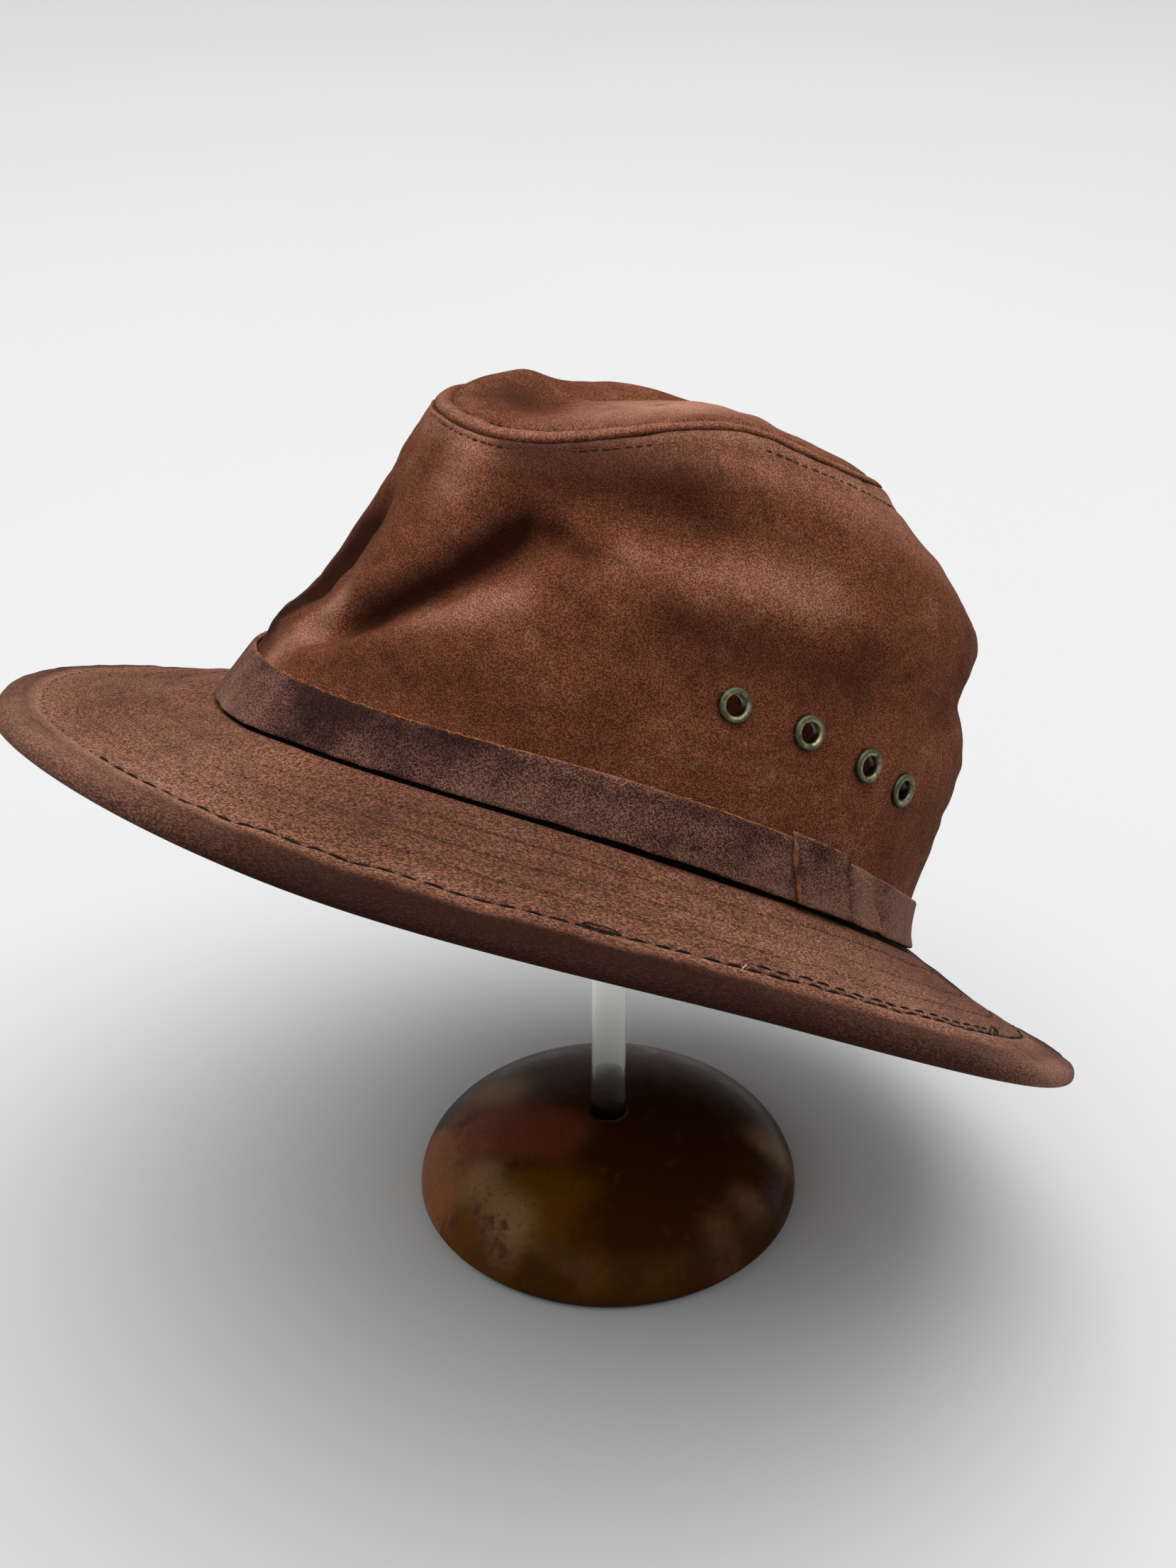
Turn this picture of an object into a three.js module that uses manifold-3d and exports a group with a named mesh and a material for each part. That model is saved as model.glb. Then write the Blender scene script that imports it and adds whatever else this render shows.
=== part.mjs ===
// A leather fedora that rests, tipped back, on a display stand: a low dome, a clear post and a round cap.
// Millimetres, +Z up. The origin is the centre of the stand's flat foot, on the post's axis.
// The hat is drawn upright in its own frame, with its front along -Y and the wearer's left along +X.
import * as THREE from 'three';
import { mergeVertices } from 'three/addons/utils/BufferGeometryUtils.js';
import Module from 'manifold-3d';

const wasm = await Module();
wasm.setup();

const { clamp, degToRad, lerp, smoothstep } = THREE.MathUtils;

// Gap that sewn and seated pieces keep.
const SEAM_GAP = 0.3;

// Crown: the foot's oval fits a 57 cm head inside the leather wall.
const LEATHER = 2;
const FOOT_AHEAD = 101;
const FOOT_BEHIND = 103.5;
const FOOT_ASIDE = 83.5;
// The foot's line is a saddle, this much up at the sides and down at the front and back.
const FOOT_SADDLE = 6.2;
// How much squarer than an ellipse the top seam is, and where the front and back heights begin to act.
const TOP_SQUARENESS = 0.35;
const HEIGHT_ONSET = 0.1;
// Shares up to which the wall's inner face leaves its level cut at the foot, and from which it is mitred.
const FOOT_LEVEL_TO = 0.08;
const MITRE_FROM = 0.85;
// The top seam stands higher on the wearer's right of the front, by this much about this angle in degrees.
const SEAM_LIFT = { angle: -30, spread: 24, height: 5.5, fromShare: 0.7 };

// Crown sections from the foot to the top seam. Share runs up the wall. Each row gives the reach from the
// middle and the height on the front, side and back lines.
const CROWN_SECTIONS = [
  {
    share: 0, front: FOOT_AHEAD, frontHeight: -FOOT_SADDLE, side: FOOT_ASIDE, sideHeight: FOOT_SADDLE,
    back: FOOT_BEHIND, backHeight: -FOOT_SADDLE,
  },
  { share: 0.07, front: 98.8, frontHeight: 0.4, side: 82.8, sideHeight: 13.3, back: 97.6, backHeight: 0.4 },
  { share: 0.16, front: 96, frontHeight: 9, side: 82, sideHeight: 22.5, back: 94.7, backHeight: 9 },
  { share: 0.36, front: 88.5, frontHeight: 27, side: 80, sideHeight: 41, back: 92.6, backHeight: 32 },
  { share: 0.56, front: 83, frontHeight: 46, side: 77, sideHeight: 60, back: 90.8, backHeight: 54 },
  { share: 0.76, front: 79.5, frontHeight: 64, side: 70.5, sideHeight: 80, back: 85.5, backHeight: 74 },
  { share: 0.89, front: 78.5, frontHeight: 74, side: 63, sideHeight: 95, back: 75, backHeight: 88.5 },
  { share: 1, front: 78, frontHeight: 82, side: 49, sideHeight: 108.5, back: 36, backHeight: 109.5 },
];

// Folds pressed into the wall: valleys between two places, each an angle round from the front towards the
// wearer's left, in degrees, and a height. Depth and width change evenly between them, and a depth below zero
// swells outwards. All folds fade out above the band.
const CROWN_FOLDS = [
  {
    name: 'front crease',
    from: { angle: -6, height: 54, depth: 5, width: 6 },
    to: { angle: -7, height: 32, depth: 4, width: 7 },
  },
  {
    name: 'front slump',
    from: { angle: -28, height: 16, depth: -3, width: 8 },
    to: { angle: 5, height: 16, depth: -3, width: 8 },
  },
  {
    name: 'left pinch',
    from: { angle: 6, height: 20, depth: 6, width: 5 },
    to: { angle: 38, height: 60, depth: 7, width: 10 },
  },
  {
    name: 'left slack',
    from: { angle: 48, height: 75, depth: 5, width: 9 },
    to: { angle: 88, height: 86, depth: 3, width: 10 },
  },
  {
    name: 'left waist',
    from: { angle: 88, height: 63, depth: 2.2, width: 10 },
    to: { angle: 130, height: 59, depth: 3.4, width: 9 },
  },
  {
    name: 'back crease',
    from: { angle: 142, height: 66, depth: 5, width: 9 },
    to: { angle: 215, height: 64, depth: 4, width: 9 },
  },
  {
    name: 'right waist',
    from: { angle: -130, height: 60, depth: 2.2, width: 11 },
    to: { angle: -92, height: 66, depth: 2.2, width: 11 },
  },
  {
    name: 'right slack',
    from: { angle: -98, height: 90, depth: 3.5, width: 13 },
    to: { angle: -58, height: 68, depth: 3.5, width: 13 },
  },
  {
    name: 'right pinch',
    from: { angle: -50, height: 61, depth: 6, width: 12 },
    to: { angle: -31, height: 38, depth: 5, width: 11 },
  },
];
// Wall length that one degree round the crown stands for, where folds are measured.
const FOLD_ARC = 1.5;
const FOLD_FADE = { from: 0.16, to: 0.32 };

// Crown tip: the top piece rises inside its seam, more at the front, and carries a dent and lobes.
const TIP_CENTRE_Y = -22;
const TIP_MITRE_TO = 0.2;
const TIP_SWELL_POWER = 4;
const TIP_RISE = { front: 13.3, back: 4.3, frontY: -66, backY: -22 };
const TIP_FORMS = [
  { name: 'centre dent', x: -8, y: -22, height: -6, spanX: 10, spanY: 44 },
  { name: 'left dimple', x: 11, y: -58, height: -3, spanX: 11, spanY: 9 },
  { name: 'right lobe', x: -22, y: -58, height: 6, spanX: 15, spanY: 16 },
];

// Brim: a layered sheet that droops all round, with a fuller rolled rim outside its outer stitch line.
const BRIM_FRONT = 51.3;
const BRIM_SIDE = 53;
const BRIM_BACK = 54.5;
const BRIM_THICK = 3.2;
const BRIM_RIM_THICK = 5;
const BRIM_SEAT_SHARE = 0.02;
const BRIM_BOW = 1.1;
const BRIM_RIM_SHARE = { from: 0.78, to: 0.88 };
// Height of the rim's middle, by the angle round from the front, the same on both sides.
const BRIM_EDGE = [
  { angle: 0, height: -27.6 },
  { angle: 45, height: -21.8 },
  { angle: 90, height: -8.9 },
  { angle: 135, height: -11.2 },
  { angle: 180, height: -21 },
];

// Band: one strip wound once round the crown's foot, whose tail laps over its start under the keeper. The
// tail narrows towards its end. Slants are in degrees, from a strip's top to its foot.
const BAND_THICK = 1.4;
const BAND_TOP_SHARE = 0.165;
const BAND_MIDDLE_SHARE = 0.08;
const BAND_FOOT_SHARE = { front: 0.012, back: 0.03 };
const BAND_START = 88;
const BAND_LAP_FROM = 70;
const BAND_LAP_TO = 86;
const BAND_END = 121;
const BAND_TAIL = { from: 111, slant: 6, topShare: 0.142 };
const KEEPER_FROM = 100.4;
const KEEPER_TO = 111.6;
const KEEPER_SLANT = 4.9;
const KEEPER_THICK = 1.3;
const KEEPER_TOP_SHARE = 0.18;

// Vent eyelets: the angle round from the front and the share up the wall, mirrored to the other side.
const EYELETS = [
  { angle: 84.3, share: 0.424 },
  { angle: 96, share: 0.426 },
  { angle: 108.8, share: 0.409 },
  { angle: 119.2, share: 0.393 },
];
const EYELET_RADIUS = 4.4;
const EYELET_HOLE_RADIUS = 2.5;
const EYELET_BARREL_RADIUS = 3;
const EYELET_FLANGE = 1;
const EYELET_CLEARANCE = 0.45;
const EYELET_DRILL_LENGTH = 8;

// Stand, and the hat's place on it.
const BASE_RADIUS = 56;
const BASE_FOOT_RADIUS = 54;
const BASE_HEIGHT = 28;
const BASE_LIP = 3;
const POST_RADIUS = 5;
const POST_SOCKET_DEPTH = 14;
const CAP_RADIUS = 13;
const CAP_SOCKET_DEPTH = 9;
const CAP_CLEARANCE = 0.8;
const CAP_SEARCH_STEP = 0.05;
const HAT_TILT = degToRad(28.6);
const HAT_ROLL = degToRad(15.1);
const HAT_PLACE = new THREE.Vector3(0.9, -9.5, 133.7);

// Faceting.
const ROUND_STEPS = 72;
const FULL_TURN = 360;
const OUTER_SHARES = [0, 0.08, 0.165, 0.24, 0.31, 0.38, 0.45, 0.52, 0.59, 0.66, 0.74, 0.82, 0.89, 0.95, 1];
const INNER_SHARES = [1, 0.92, 0.82, 0.7, 0.56, 0.42, 0.28, 0.165, 0.08, 0];
const TIP_OUTER_INSETS = [0, 0.08, 0.18, 0.32, 0.46, 0.62, 0.8, 1];
const TIP_INNER_INSETS = [1, 0.72, 0.46, 0.22, 0];
const BRIM_SHARES = [-0.035, 0.02, 0.2, 0.42, 0.62, 0.78, 0.88];
const RIM_ARC_STEPS = 5;
const EYELET_SIDES = 10;
const BASE_SIDES = 36;
const BASE_DOME_STEPS = 8;
const POST_SIDES = 20;
const CAP_SIDES = 16;
const CAP_BALL_STEPS = 7;
const DERIVATIVE_STEP = 1e-3;

const FINISHES = {
  crown: { color: 0x6f4330, roughness: 0.85 },
  brim: { color: 0x633c2d, roughness: 0.85 },
  band: { color: 0x50352d, roughness: 0.8 },
  brass: { color: 0x6d6a4c, roughness: 0.45, metalness: 1 },
  base: { color: 0x54401f, roughness: 0.4 },
  clear: { color: 0xdfe3e3, roughness: 0.1 },
  cap: { color: 0xcfcfc8, roughness: 0.5 },
};

// Value of a table's column at a place along its key column, on smooth cubics through the rows.
function tableValue(rows, key, column, at) {
  const last = rows.length - 1;
  let index = 0;
  while (index < last - 1 && at > rows[index + 1][key]) index += 1;
  const slope = (i) => {
    const before = rows[Math.max(i - 1, 0)];
    const after = rows[Math.min(i + 1, last)];
    return (after[column] - before[column]) / (after[key] - before[key]);
  };
  const span = rows[index + 1][key] - rows[index][key];
  const u = clamp((at - rows[index][key]) / span, 0, 1);
  const rise = u * u * (3 - 2 * u);
  const startPull = u * (1 - u) * (1 - u) * span;
  const endPull = u * u * (1 - u) * span;
  const level = lerp(rows[index][column], rows[index + 1][column], rise);
  return level + slope(index) * startPull - slope(index + 1) * endPull;
}

// How far an angle lies towards the front (positive cosine) or back, blended from a plain squared cosine at
// the foot to a later, sharper onset at the top.
function endShare(cosine, share) {
  const plain = Math.max(cosine, 0) ** 2;
  return lerp(plain, smoothstep(cosine, HEIGHT_ONSET, 1), share);
}

// Depth that all folds press into the wall at an angle in radians and a height.
function foldDepth(angle, height) {
  const degrees = THREE.MathUtils.radToDeg(angle);
  let depth = 0;
  for (const { from, to } of CROWN_FOLDS) {
    const middle = (from.angle + to.angle) / 2;
    const turns = Math.round((middle - degrees) / FULL_TURN);
    const place = new THREE.Vector2((degrees + turns * FULL_TURN) * FOLD_ARC, height);
    const start = new THREE.Vector2(from.angle * FOLD_ARC, from.height);
    const run = new THREE.Vector2(to.angle * FOLD_ARC, to.height).sub(start);
    const along = clamp(place.clone().sub(start).dot(run) / run.lengthSq(), 0, 1);
    const distance = place.distanceTo(start.addScaledVector(run, along));
    const width = lerp(from.width, to.width, along);
    depth += lerp(from.depth, to.depth, along) * Math.exp(-((distance / width) ** 2));
  }
  return depth;
}

// Height that the lifted stretch of the top seam adds to the wall.
function seamLift(angle, share) {
  const degrees = THREE.MathUtils.radToDeg(Math.atan2(Math.sin(angle), Math.cos(angle)));
  const bell = Math.exp(-(((degrees - SEAM_LIFT.angle) / SEAM_LIFT.spread) ** 2));
  return SEAM_LIFT.height * bell * smoothstep(share, SEAM_LIFT.fromShare, 1);
}

// Outer face of the crown's side wall.
function crownPoint(angle, share) {
  const cosine = Math.cos(angle);
  const sine = Math.sin(angle);
  const column = (name) => tableValue(CROWN_SECTIONS, 'share', name, share);
  const power = 2 / (2 + TOP_SQUARENESS * share);
  const ahead = cosine > 0 ? column('front') : column('back');
  const aside = column('side');
  const towardsFront = endShare(cosine, share);
  const towardsBack = endShare(-cosine, share);
  const height = towardsFront * column('frontHeight') + towardsBack * column('backHeight')
    + (1 - towardsFront - towardsBack) * column('sideHeight') + seamLift(angle, share);
  const point = new THREE.Vector3(
    aside * Math.sign(sine) * Math.abs(sine) ** power,
    -ahead * Math.sign(cosine) * Math.abs(cosine) ** power,
    height,
  );
  const fade = smoothstep(share, FOLD_FADE.from, FOLD_FADE.to);
  const outward = new THREE.Vector3(sine / aside, -cosine / ahead, 0).normalize();
  return point.addScaledVector(outward, -fade * foldDepth(angle, height));
}

// Height of the top seam along the hat's middle, which carries the tip's surface.
function seamHeight(y) {
  const seam = CROWN_SECTIONS[CROWN_SECTIONS.length - 1];
  const ahead = smoothstep(-y / seam.front, HEIGHT_ONSET, 1) * (seam.frontHeight - seam.sideHeight);
  const behind = smoothstep(y / seam.back, HEIGHT_ONSET, 1) * (seam.backHeight - seam.sideHeight);
  return seam.sideHeight + ahead + behind;
}

// Outer face of the crown's tip. Inset is 0 on the seam and 1 at the middle.
function tipPoint(angle, inset) {
  const ring = 1 - inset;
  const rim = crownPoint(angle, 1);
  const x = ring * rim.x;
  const y = lerp(TIP_CENTRE_Y, rim.y, ring);
  const inside = 1 - ring ** 2;
  const rise = lerp(TIP_RISE.front, TIP_RISE.back, smoothstep(y, TIP_RISE.frontY, TIP_RISE.backY));
  const swell = 1 - ring ** TIP_SWELL_POWER;
  let height = lerp(rim.z, seamHeight(y), inside) + rise * swell;
  for (const form of TIP_FORMS) {
    const away = ((x - form.x) / form.spanX) ** 2 + ((y - form.y) / form.spanY) ** 2;
    height += form.height * Math.exp(-away) * swell;
  }
  return new THREE.Vector3(x, y, height);
}

// Outward normal of a surface given by an angle and a second value that grows upwards or inwards.
function normalOf(surface, angle, value) {
  const low = clamp(value - DERIVATIVE_STEP, 0, 1);
  const high = clamp(value + DERIVATIVE_STEP, 0, 1);
  const round = surface(angle + DERIVATIVE_STEP, value).sub(surface(angle - DERIVATIVE_STEP, value));
  const up = surface(angle, high).sub(surface(angle, low));
  return round.cross(up).normalize();
}

// Direction halfway between outward and up, in which the seam's two cut edges lie.
function seamMitre(angle) {
  const rim = crownPoint(angle, 1);
  const outward = new THREE.Vector3(rim.x, rim.y - TIP_CENTRE_Y, 0).normalize();
  return outward.add(new THREE.Vector3(0, 0, 1)).normalize();
}

// Inner face of the side wall and of the tip, one leather thickness inside, cut level at the foot and mitred
// at the seam.
function crownInner(angle, share) {
  const away = normalOf(crownPoint, angle, share);
  away.z *= smoothstep(share, 0, FOOT_LEVEL_TO);
  away.lerp(seamMitre(angle), smoothstep(share, MITRE_FROM, 1)).normalize();
  return crownPoint(angle, share).addScaledVector(away, -LEATHER);
}
function tipInner(angle, inset) {
  const away = new THREE.Vector3(0, 0, 1);
  if (inset < 1) away.copy(normalOf(tipPoint, angle, inset));
  away.lerp(seamMitre(angle), 1 - smoothstep(inset, 0, TIP_MITRE_TO)).normalize();
  return tipPoint(angle, inset).addScaledVector(away, -LEATHER);
}

// Closed solid skinned over loops of points. Ring solids join the last loop to the first, and others get
// flat ends. Each loop runs so that its step round, crossed with its own direction, points outwards.
function skin(loops, isRing) {
  const size = loops[0].length;
  const positions = loops.flat().flatMap((point) => point.toArray());
  const triangles = [];
  const spans = isRing ? loops.length : loops.length - 1;
  for (let i = 0; i < spans; i += 1) {
    const here = i * size;
    const next = ((i + 1) % loops.length) * size;
    for (let j = 0; j < size; j += 1) {
      const k = (j + 1) % size;
      triangles.push([here + j, next + j, next + k], [here + j, next + k, here + k]);
    }
  }
  if (!isRing) {
    const end = (loops.length - 1) * size;
    for (let j = 1; j < size - 1; j += 1) {
      triangles.push([0, j, j + 1], [end, end + j + 1, end + j]);
    }
  }
  const geometry = new THREE.BufferGeometry();
  geometry.setAttribute('position', new THREE.Float32BufferAttribute(positions, 3));
  geometry.setIndex(triangles.flat());
  return withoutSlivers(mergeVertices(geometry));
}

// Drops the triangles that merging has shrunk to a line.
function withoutSlivers(geometry) {
  const old = geometry.index.array;
  const kept = [];
  for (let i = 0; i < old.length; i += 3) {
    const [a, b, c] = old.slice(i, i + 3);
    if (a !== b && b !== c && c !== a) kept.push(a, b, c);
  }
  geometry.setIndex(kept);
  return geometry;
}

// Angles round the whole hat, or from one angle in degrees to another on the same steps.
function roundAngles() {
  return Array.from({ length: ROUND_STEPS }, (_, i) => degToRad((i * FULL_TURN) / ROUND_STEPS));
}
function arcAngles(from, to) {
  const step = FULL_TURN / ROUND_STEPS;
  const degrees = [from];
  for (let next = (Math.floor(from / step) + 1) * step; next < to; next += step) degrees.push(next);
  degrees.push(to);
  return degrees.map(degToRad);
}

// A manifold solid from a mesh in its place, and a geometry back from a solid.
function solidOf(mesh) {
  mesh.updateMatrix();
  const bare = mesh.geometry.clone().applyMatrix4(mesh.matrix);
  bare.deleteAttribute('normal');
  bare.deleteAttribute('uv');
  const merged = mergeVertices(bare);
  const vertProperties = new Float32Array(merged.attributes.position.array);
  const triVerts = new Uint32Array(merged.index.array);
  return new wasm.Manifold(new wasm.Mesh({ numProp: 3, vertProperties, triVerts }));
}
function geometryOf(solid) {
  const mesh = solid.getMesh();
  const geometry = new THREE.BufferGeometry();
  geometry.setAttribute('position', new THREE.Float32BufferAttribute(mesh.vertProperties, 3));
  geometry.setIndex(Array.from(mesh.triVerts));
  return geometry;
}

// A named piece with its finish.
function piece(name, geometry, finish) {
  const mesh = new THREE.Mesh(geometry, new THREE.MeshStandardMaterial(finish));
  mesh.name = name;
  return mesh;
}

// Places a mesh on the crown's outer face, its own Y axis along the outward normal.
function seatOnCrown(mesh, angle, share, lift) {
  const outward = normalOf(crownPoint, angle, share);
  mesh.position.copy(crownPoint(angle, share)).addScaledVector(outward, lift);
  mesh.quaternion.setFromUnitVectors(new THREE.Vector3(0, 1, 0), outward);
  return mesh;
}

// Both sides' eyelet places, each with its node name.
function eyeletPlaces() {
  return [['left', 1], ['right', -1]].flatMap(([side, sign]) => EYELETS.map((row, i) => (
    { name: `eyelet_${side}_${i + 1}`, angle: sign * degToRad(row.angle), share: row.share }
  )));
}

function crownSide() {
  const loops = roundAngles().map((angle) => [
    ...OUTER_SHARES.map((share) => crownPoint(angle, share)),
    ...INNER_SHARES.map((share) => crownInner(angle, share)),
  ]);
  let wall = solidOf(new THREE.Mesh(skin(loops, true)));
  const drillRadius = EYELET_BARREL_RADIUS + SEAM_GAP;
  for (const place of eyeletPlaces()) {
    const drill = new THREE.CylinderGeometry(drillRadius, drillRadius, EYELET_DRILL_LENGTH, EYELET_SIDES);
    wall = wall.subtract(solidOf(seatOnCrown(new THREE.Mesh(drill), place.angle, place.share, 0)));
  }
  return piece('crown_side', geometryOf(wall), FINISHES.crown);
}

function crownTip() {
  const loops = roundAngles().map((angle) => [
    ...TIP_OUTER_INSETS.map((inset) => tipPoint(angle, inset)),
    ...TIP_INNER_INSETS.map((inset) => tipInner(angle, inset)),
  ]);
  const tip = piece('crown_tip', skin(loops, true), FINISHES.crown);
  // The mitred cut edges lie at 45 degrees, so this lift opens the seam by its gap.
  tip.position.z = SEAM_GAP * Math.SQRT2;
  return tip;
}

// Middle of the brim's thickness, by angle and share of its width outwards.
function brimMiddle(angle, share) {
  const cosine = Math.cos(angle);
  const width = lerp(BRIM_BACK, BRIM_FRONT, (1 + cosine) / 2);
  const x = (FOOT_ASIDE + BRIM_SIDE * share) * Math.sin(angle);
  const y = -(FOOT_AHEAD + width * share) * cosine;
  const degrees = THREE.MathUtils.radToDeg(Math.acos(clamp(cosine, -1, 1)));
  const edge = tableValue(BRIM_EDGE, 'angle', 'height', degrees);
  const seat = -FOOT_SADDLE * Math.cos(2 * angle) - SEAM_GAP - BRIM_THICK / 2;
  const slide = Math.max((share - BRIM_SEAT_SHARE) / (1 - BRIM_SEAT_SHARE), 0) ** BRIM_BOW;
  return new THREE.Vector3(x, y, lerp(seat, edge, slide));
}

function brim() {
  const halfThick = (share) => {
    const rim = smoothstep(share, BRIM_RIM_SHARE.from, BRIM_RIM_SHARE.to);
    return lerp(BRIM_THICK, BRIM_RIM_THICK, rim) / 2;
  };
  const rollShare = BRIM_RIM_THICK / 2 / BRIM_SIDE;
  const loops = roundAngles().map((angle) => {
    const face = (share, side) => {
      const point = brimMiddle(angle, share);
      point.z += side * halfThick(share);
      return point;
    };
    const roll = Array.from({ length: RIM_ARC_STEPS }, (_, i) => {
      const turn = ((i + 0.5) / RIM_ARC_STEPS - 0.5) * Math.PI;
      const point = brimMiddle(angle, 1 - rollShare * (1 - Math.cos(turn)));
      point.z += (BRIM_RIM_THICK / 2) * Math.sin(turn);
      return point;
    });
    return [
      ...BRIM_SHARES.map((share) => face(share, -1)),
      ...roll,
      ...BRIM_SHARES.toReversed().map((share) => face(share, 1)),
    ];
  });
  return piece('brim', skin(loops, true), FINISHES.brim);
}

// Section of a strip laid on the crown's foot: its outer face from bottom to top, then its inner face.
function stripLoop(angle, slant, topShare, innerLift, thickness) {
  const footShare = lerp(BAND_FOOT_SHARE.back, BAND_FOOT_SHARE.front, (1 + Math.cos(angle)) / 2);
  const shares = [footShare, BAND_MIDDLE_SHARE, topShare];
  const face = (share, lift) => {
    const turned = angle + degToRad(slant) * (0.5 - (share - footShare) / (topShare - footShare));
    const outward = normalOf(crownPoint, turned, share);
    return crownPoint(turned, share).addScaledVector(outward, lift);
  };
  return [
    ...shares.map((share) => face(share, innerLift + thickness)),
    ...shares.toReversed().map((share) => face(share, innerLift)),
  ];
}

function hatBand() {
  const lapLift = BAND_THICK + SEAM_GAP;
  const lapFrom = degToRad(BAND_LAP_FROM + FULL_TURN);
  const lapTo = degToRad(BAND_LAP_TO + FULL_TURN);
  const loops = arcAngles(BAND_START, BAND_END + FULL_TURN).map((angle) => {
    const lift = SEAM_GAP + lapLift * smoothstep(angle, lapFrom, lapTo);
    const tail = smoothstep(angle, degToRad(BAND_TAIL.from + FULL_TURN), degToRad(BAND_END + FULL_TURN));
    const topShare = lerp(BAND_TOP_SHARE, BAND_TAIL.topShare, tail);
    return stripLoop(angle, BAND_TAIL.slant * tail, topShare, lift, BAND_THICK);
  });
  return piece('hat_band', skin(loops, false), FINISHES.band);
}

function bandKeeper() {
  const lift = SEAM_GAP + 2 * (BAND_THICK + SEAM_GAP);
  const angles = arcAngles(KEEPER_FROM, KEEPER_TO);
  const loops = angles.map((angle) => stripLoop(angle, KEEPER_SLANT, KEEPER_TOP_SHARE, lift, KEEPER_THICK));
  return piece('band_keeper', skin(loops, false), FINISHES.band);
}

// A brass eyelet: a rolled flange on the wall and a barrel through it.
function eyelet(place) {
  const middle = (EYELET_RADIUS + EYELET_HOLE_RADIUS) / 2;
  const profile = [
    new THREE.Vector2(EYELET_HOLE_RADIUS, -LEATHER),
    new THREE.Vector2(EYELET_BARREL_RADIUS, -LEATHER),
    new THREE.Vector2(EYELET_BARREL_RADIUS, 0),
    new THREE.Vector2(EYELET_RADIUS, 0),
    new THREE.Vector2(middle, EYELET_FLANGE),
    new THREE.Vector2(EYELET_HOLE_RADIUS, EYELET_FLANGE / 2),
    new THREE.Vector2(EYELET_HOLE_RADIUS, -LEATHER),
  ];
  const ring = piece(place.name, new THREE.LatheGeometry(profile, EYELET_SIDES), FINISHES.brass);
  return seatOnCrown(ring, place.angle, place.share, EYELET_CLEARANCE);
}

// Height of the cap's centre on the post's axis at which its ball just clears the crown's inner face.
function capCentreHeight(hatMatrix) {
  const tipLift = new THREE.Vector3(0, 0, SEAM_GAP * Math.SQRT2);
  const inner = roundAngles().flatMap((angle) => [
    ...INNER_SHARES.map((share) => crownInner(angle, share)),
    ...TIP_INNER_INSETS.map((inset) => tipInner(angle, inset).add(tipLift)),
  ]).map((point) => point.applyMatrix4(hatMatrix));
  const reach = CAP_RADIUS + CAP_CLEARANCE;
  let height = HAT_PLACE.z;
  const clears = (z) => inner.every((point) => Math.hypot(point.x, point.y, point.z - z) > reach);
  while (clears(height + CAP_SEARCH_STEP)) height += CAP_SEARCH_STEP;
  return height;
}

// Lathed stand pieces are drawn up the Y axis and turned to stand up Z.
function standUp(mesh) {
  mesh.rotation.x = Math.PI / 2;
  return mesh;
}

function standBase() {
  const socket = POST_RADIUS + SEAM_GAP;
  const mouth = Math.acos(socket / BASE_RADIUS);
  const dome = new THREE.EllipseCurve(0, BASE_LIP, BASE_RADIUS, BASE_HEIGHT - BASE_LIP, 0, mouth);
  const profile = [
    new THREE.Vector2(0, 0),
    new THREE.Vector2(BASE_FOOT_RADIUS, 0),
    ...dome.getPoints(BASE_DOME_STEPS),
    new THREE.Vector2(socket, BASE_HEIGHT - POST_SOCKET_DEPTH),
    new THREE.Vector2(0, BASE_HEIGHT - POST_SOCKET_DEPTH),
  ];
  return standUp(piece('stand_base', new THREE.LatheGeometry(profile, BASE_SIDES), FINISHES.base));
}

function standPost(capCentre) {
  const bottom = BASE_HEIGHT - POST_SOCKET_DEPTH + SEAM_GAP;
  const top = capCentre - CAP_RADIUS + CAP_SOCKET_DEPTH - SEAM_GAP;
  const rod = new THREE.CylinderGeometry(POST_RADIUS, POST_RADIUS, top - bottom, POST_SIDES);
  const post = standUp(piece('stand_post', rod, FINISHES.clear));
  post.position.z = (top + bottom) / 2;
  return post;
}

function standCap(capCentre) {
  const socket = POST_RADIUS + SEAM_GAP;
  const mouth = Math.asin(socket / CAP_RADIUS);
  const ball = new THREE.EllipseCurve(0, 0, CAP_RADIUS, CAP_RADIUS, mouth - Math.PI / 2, Math.PI / 2);
  const profile = [
    new THREE.Vector2(0, CAP_SOCKET_DEPTH - CAP_RADIUS),
    new THREE.Vector2(socket, CAP_SOCKET_DEPTH - CAP_RADIUS),
    ...ball.getPoints(CAP_BALL_STEPS),
  ];
  profile[profile.length - 1].x = 0;
  const cap = standUp(piece('stand_cap', new THREE.LatheGeometry(profile, CAP_SIDES), FINISHES.cap));
  cap.position.z = capCentre;
  return cap;
}

const hat = new THREE.Group();
hat.position.copy(HAT_PLACE);
hat.rotation.set(-HAT_TILT, -HAT_ROLL, 0);
hat.add(crownSide(), crownTip(), brim(), hatBand(), bandKeeper());
hat.add(...eyeletPlaces().map(eyelet));
hat.updateMatrixWorld(true);

const capCentre = capCentreHeight(hat.matrixWorld);
const group = new THREE.Group();
group.add(hat, standBase(), standPost(capCentre), standCap(capCentre));

export default group;
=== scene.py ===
"""Looks of a leather fedora that rests, tipped back, on a display stand.

Each form is worked out in the hat's own upright frame in millimetres, with the front along -Y and the
wearer's left along +X. It is then tipped onto the stand and put into metres. Angles run round the hat from
the front towards the wearer's left. A Pair is where something begins and ends, a Bell is a height, a middle
and a width, and Lumps are a height, a wavelength and a seed.
"""
import logging
import math
from dataclasses import dataclass
from enum import Enum
from functools import cache
from typing import Callable, NamedTuple

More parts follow.
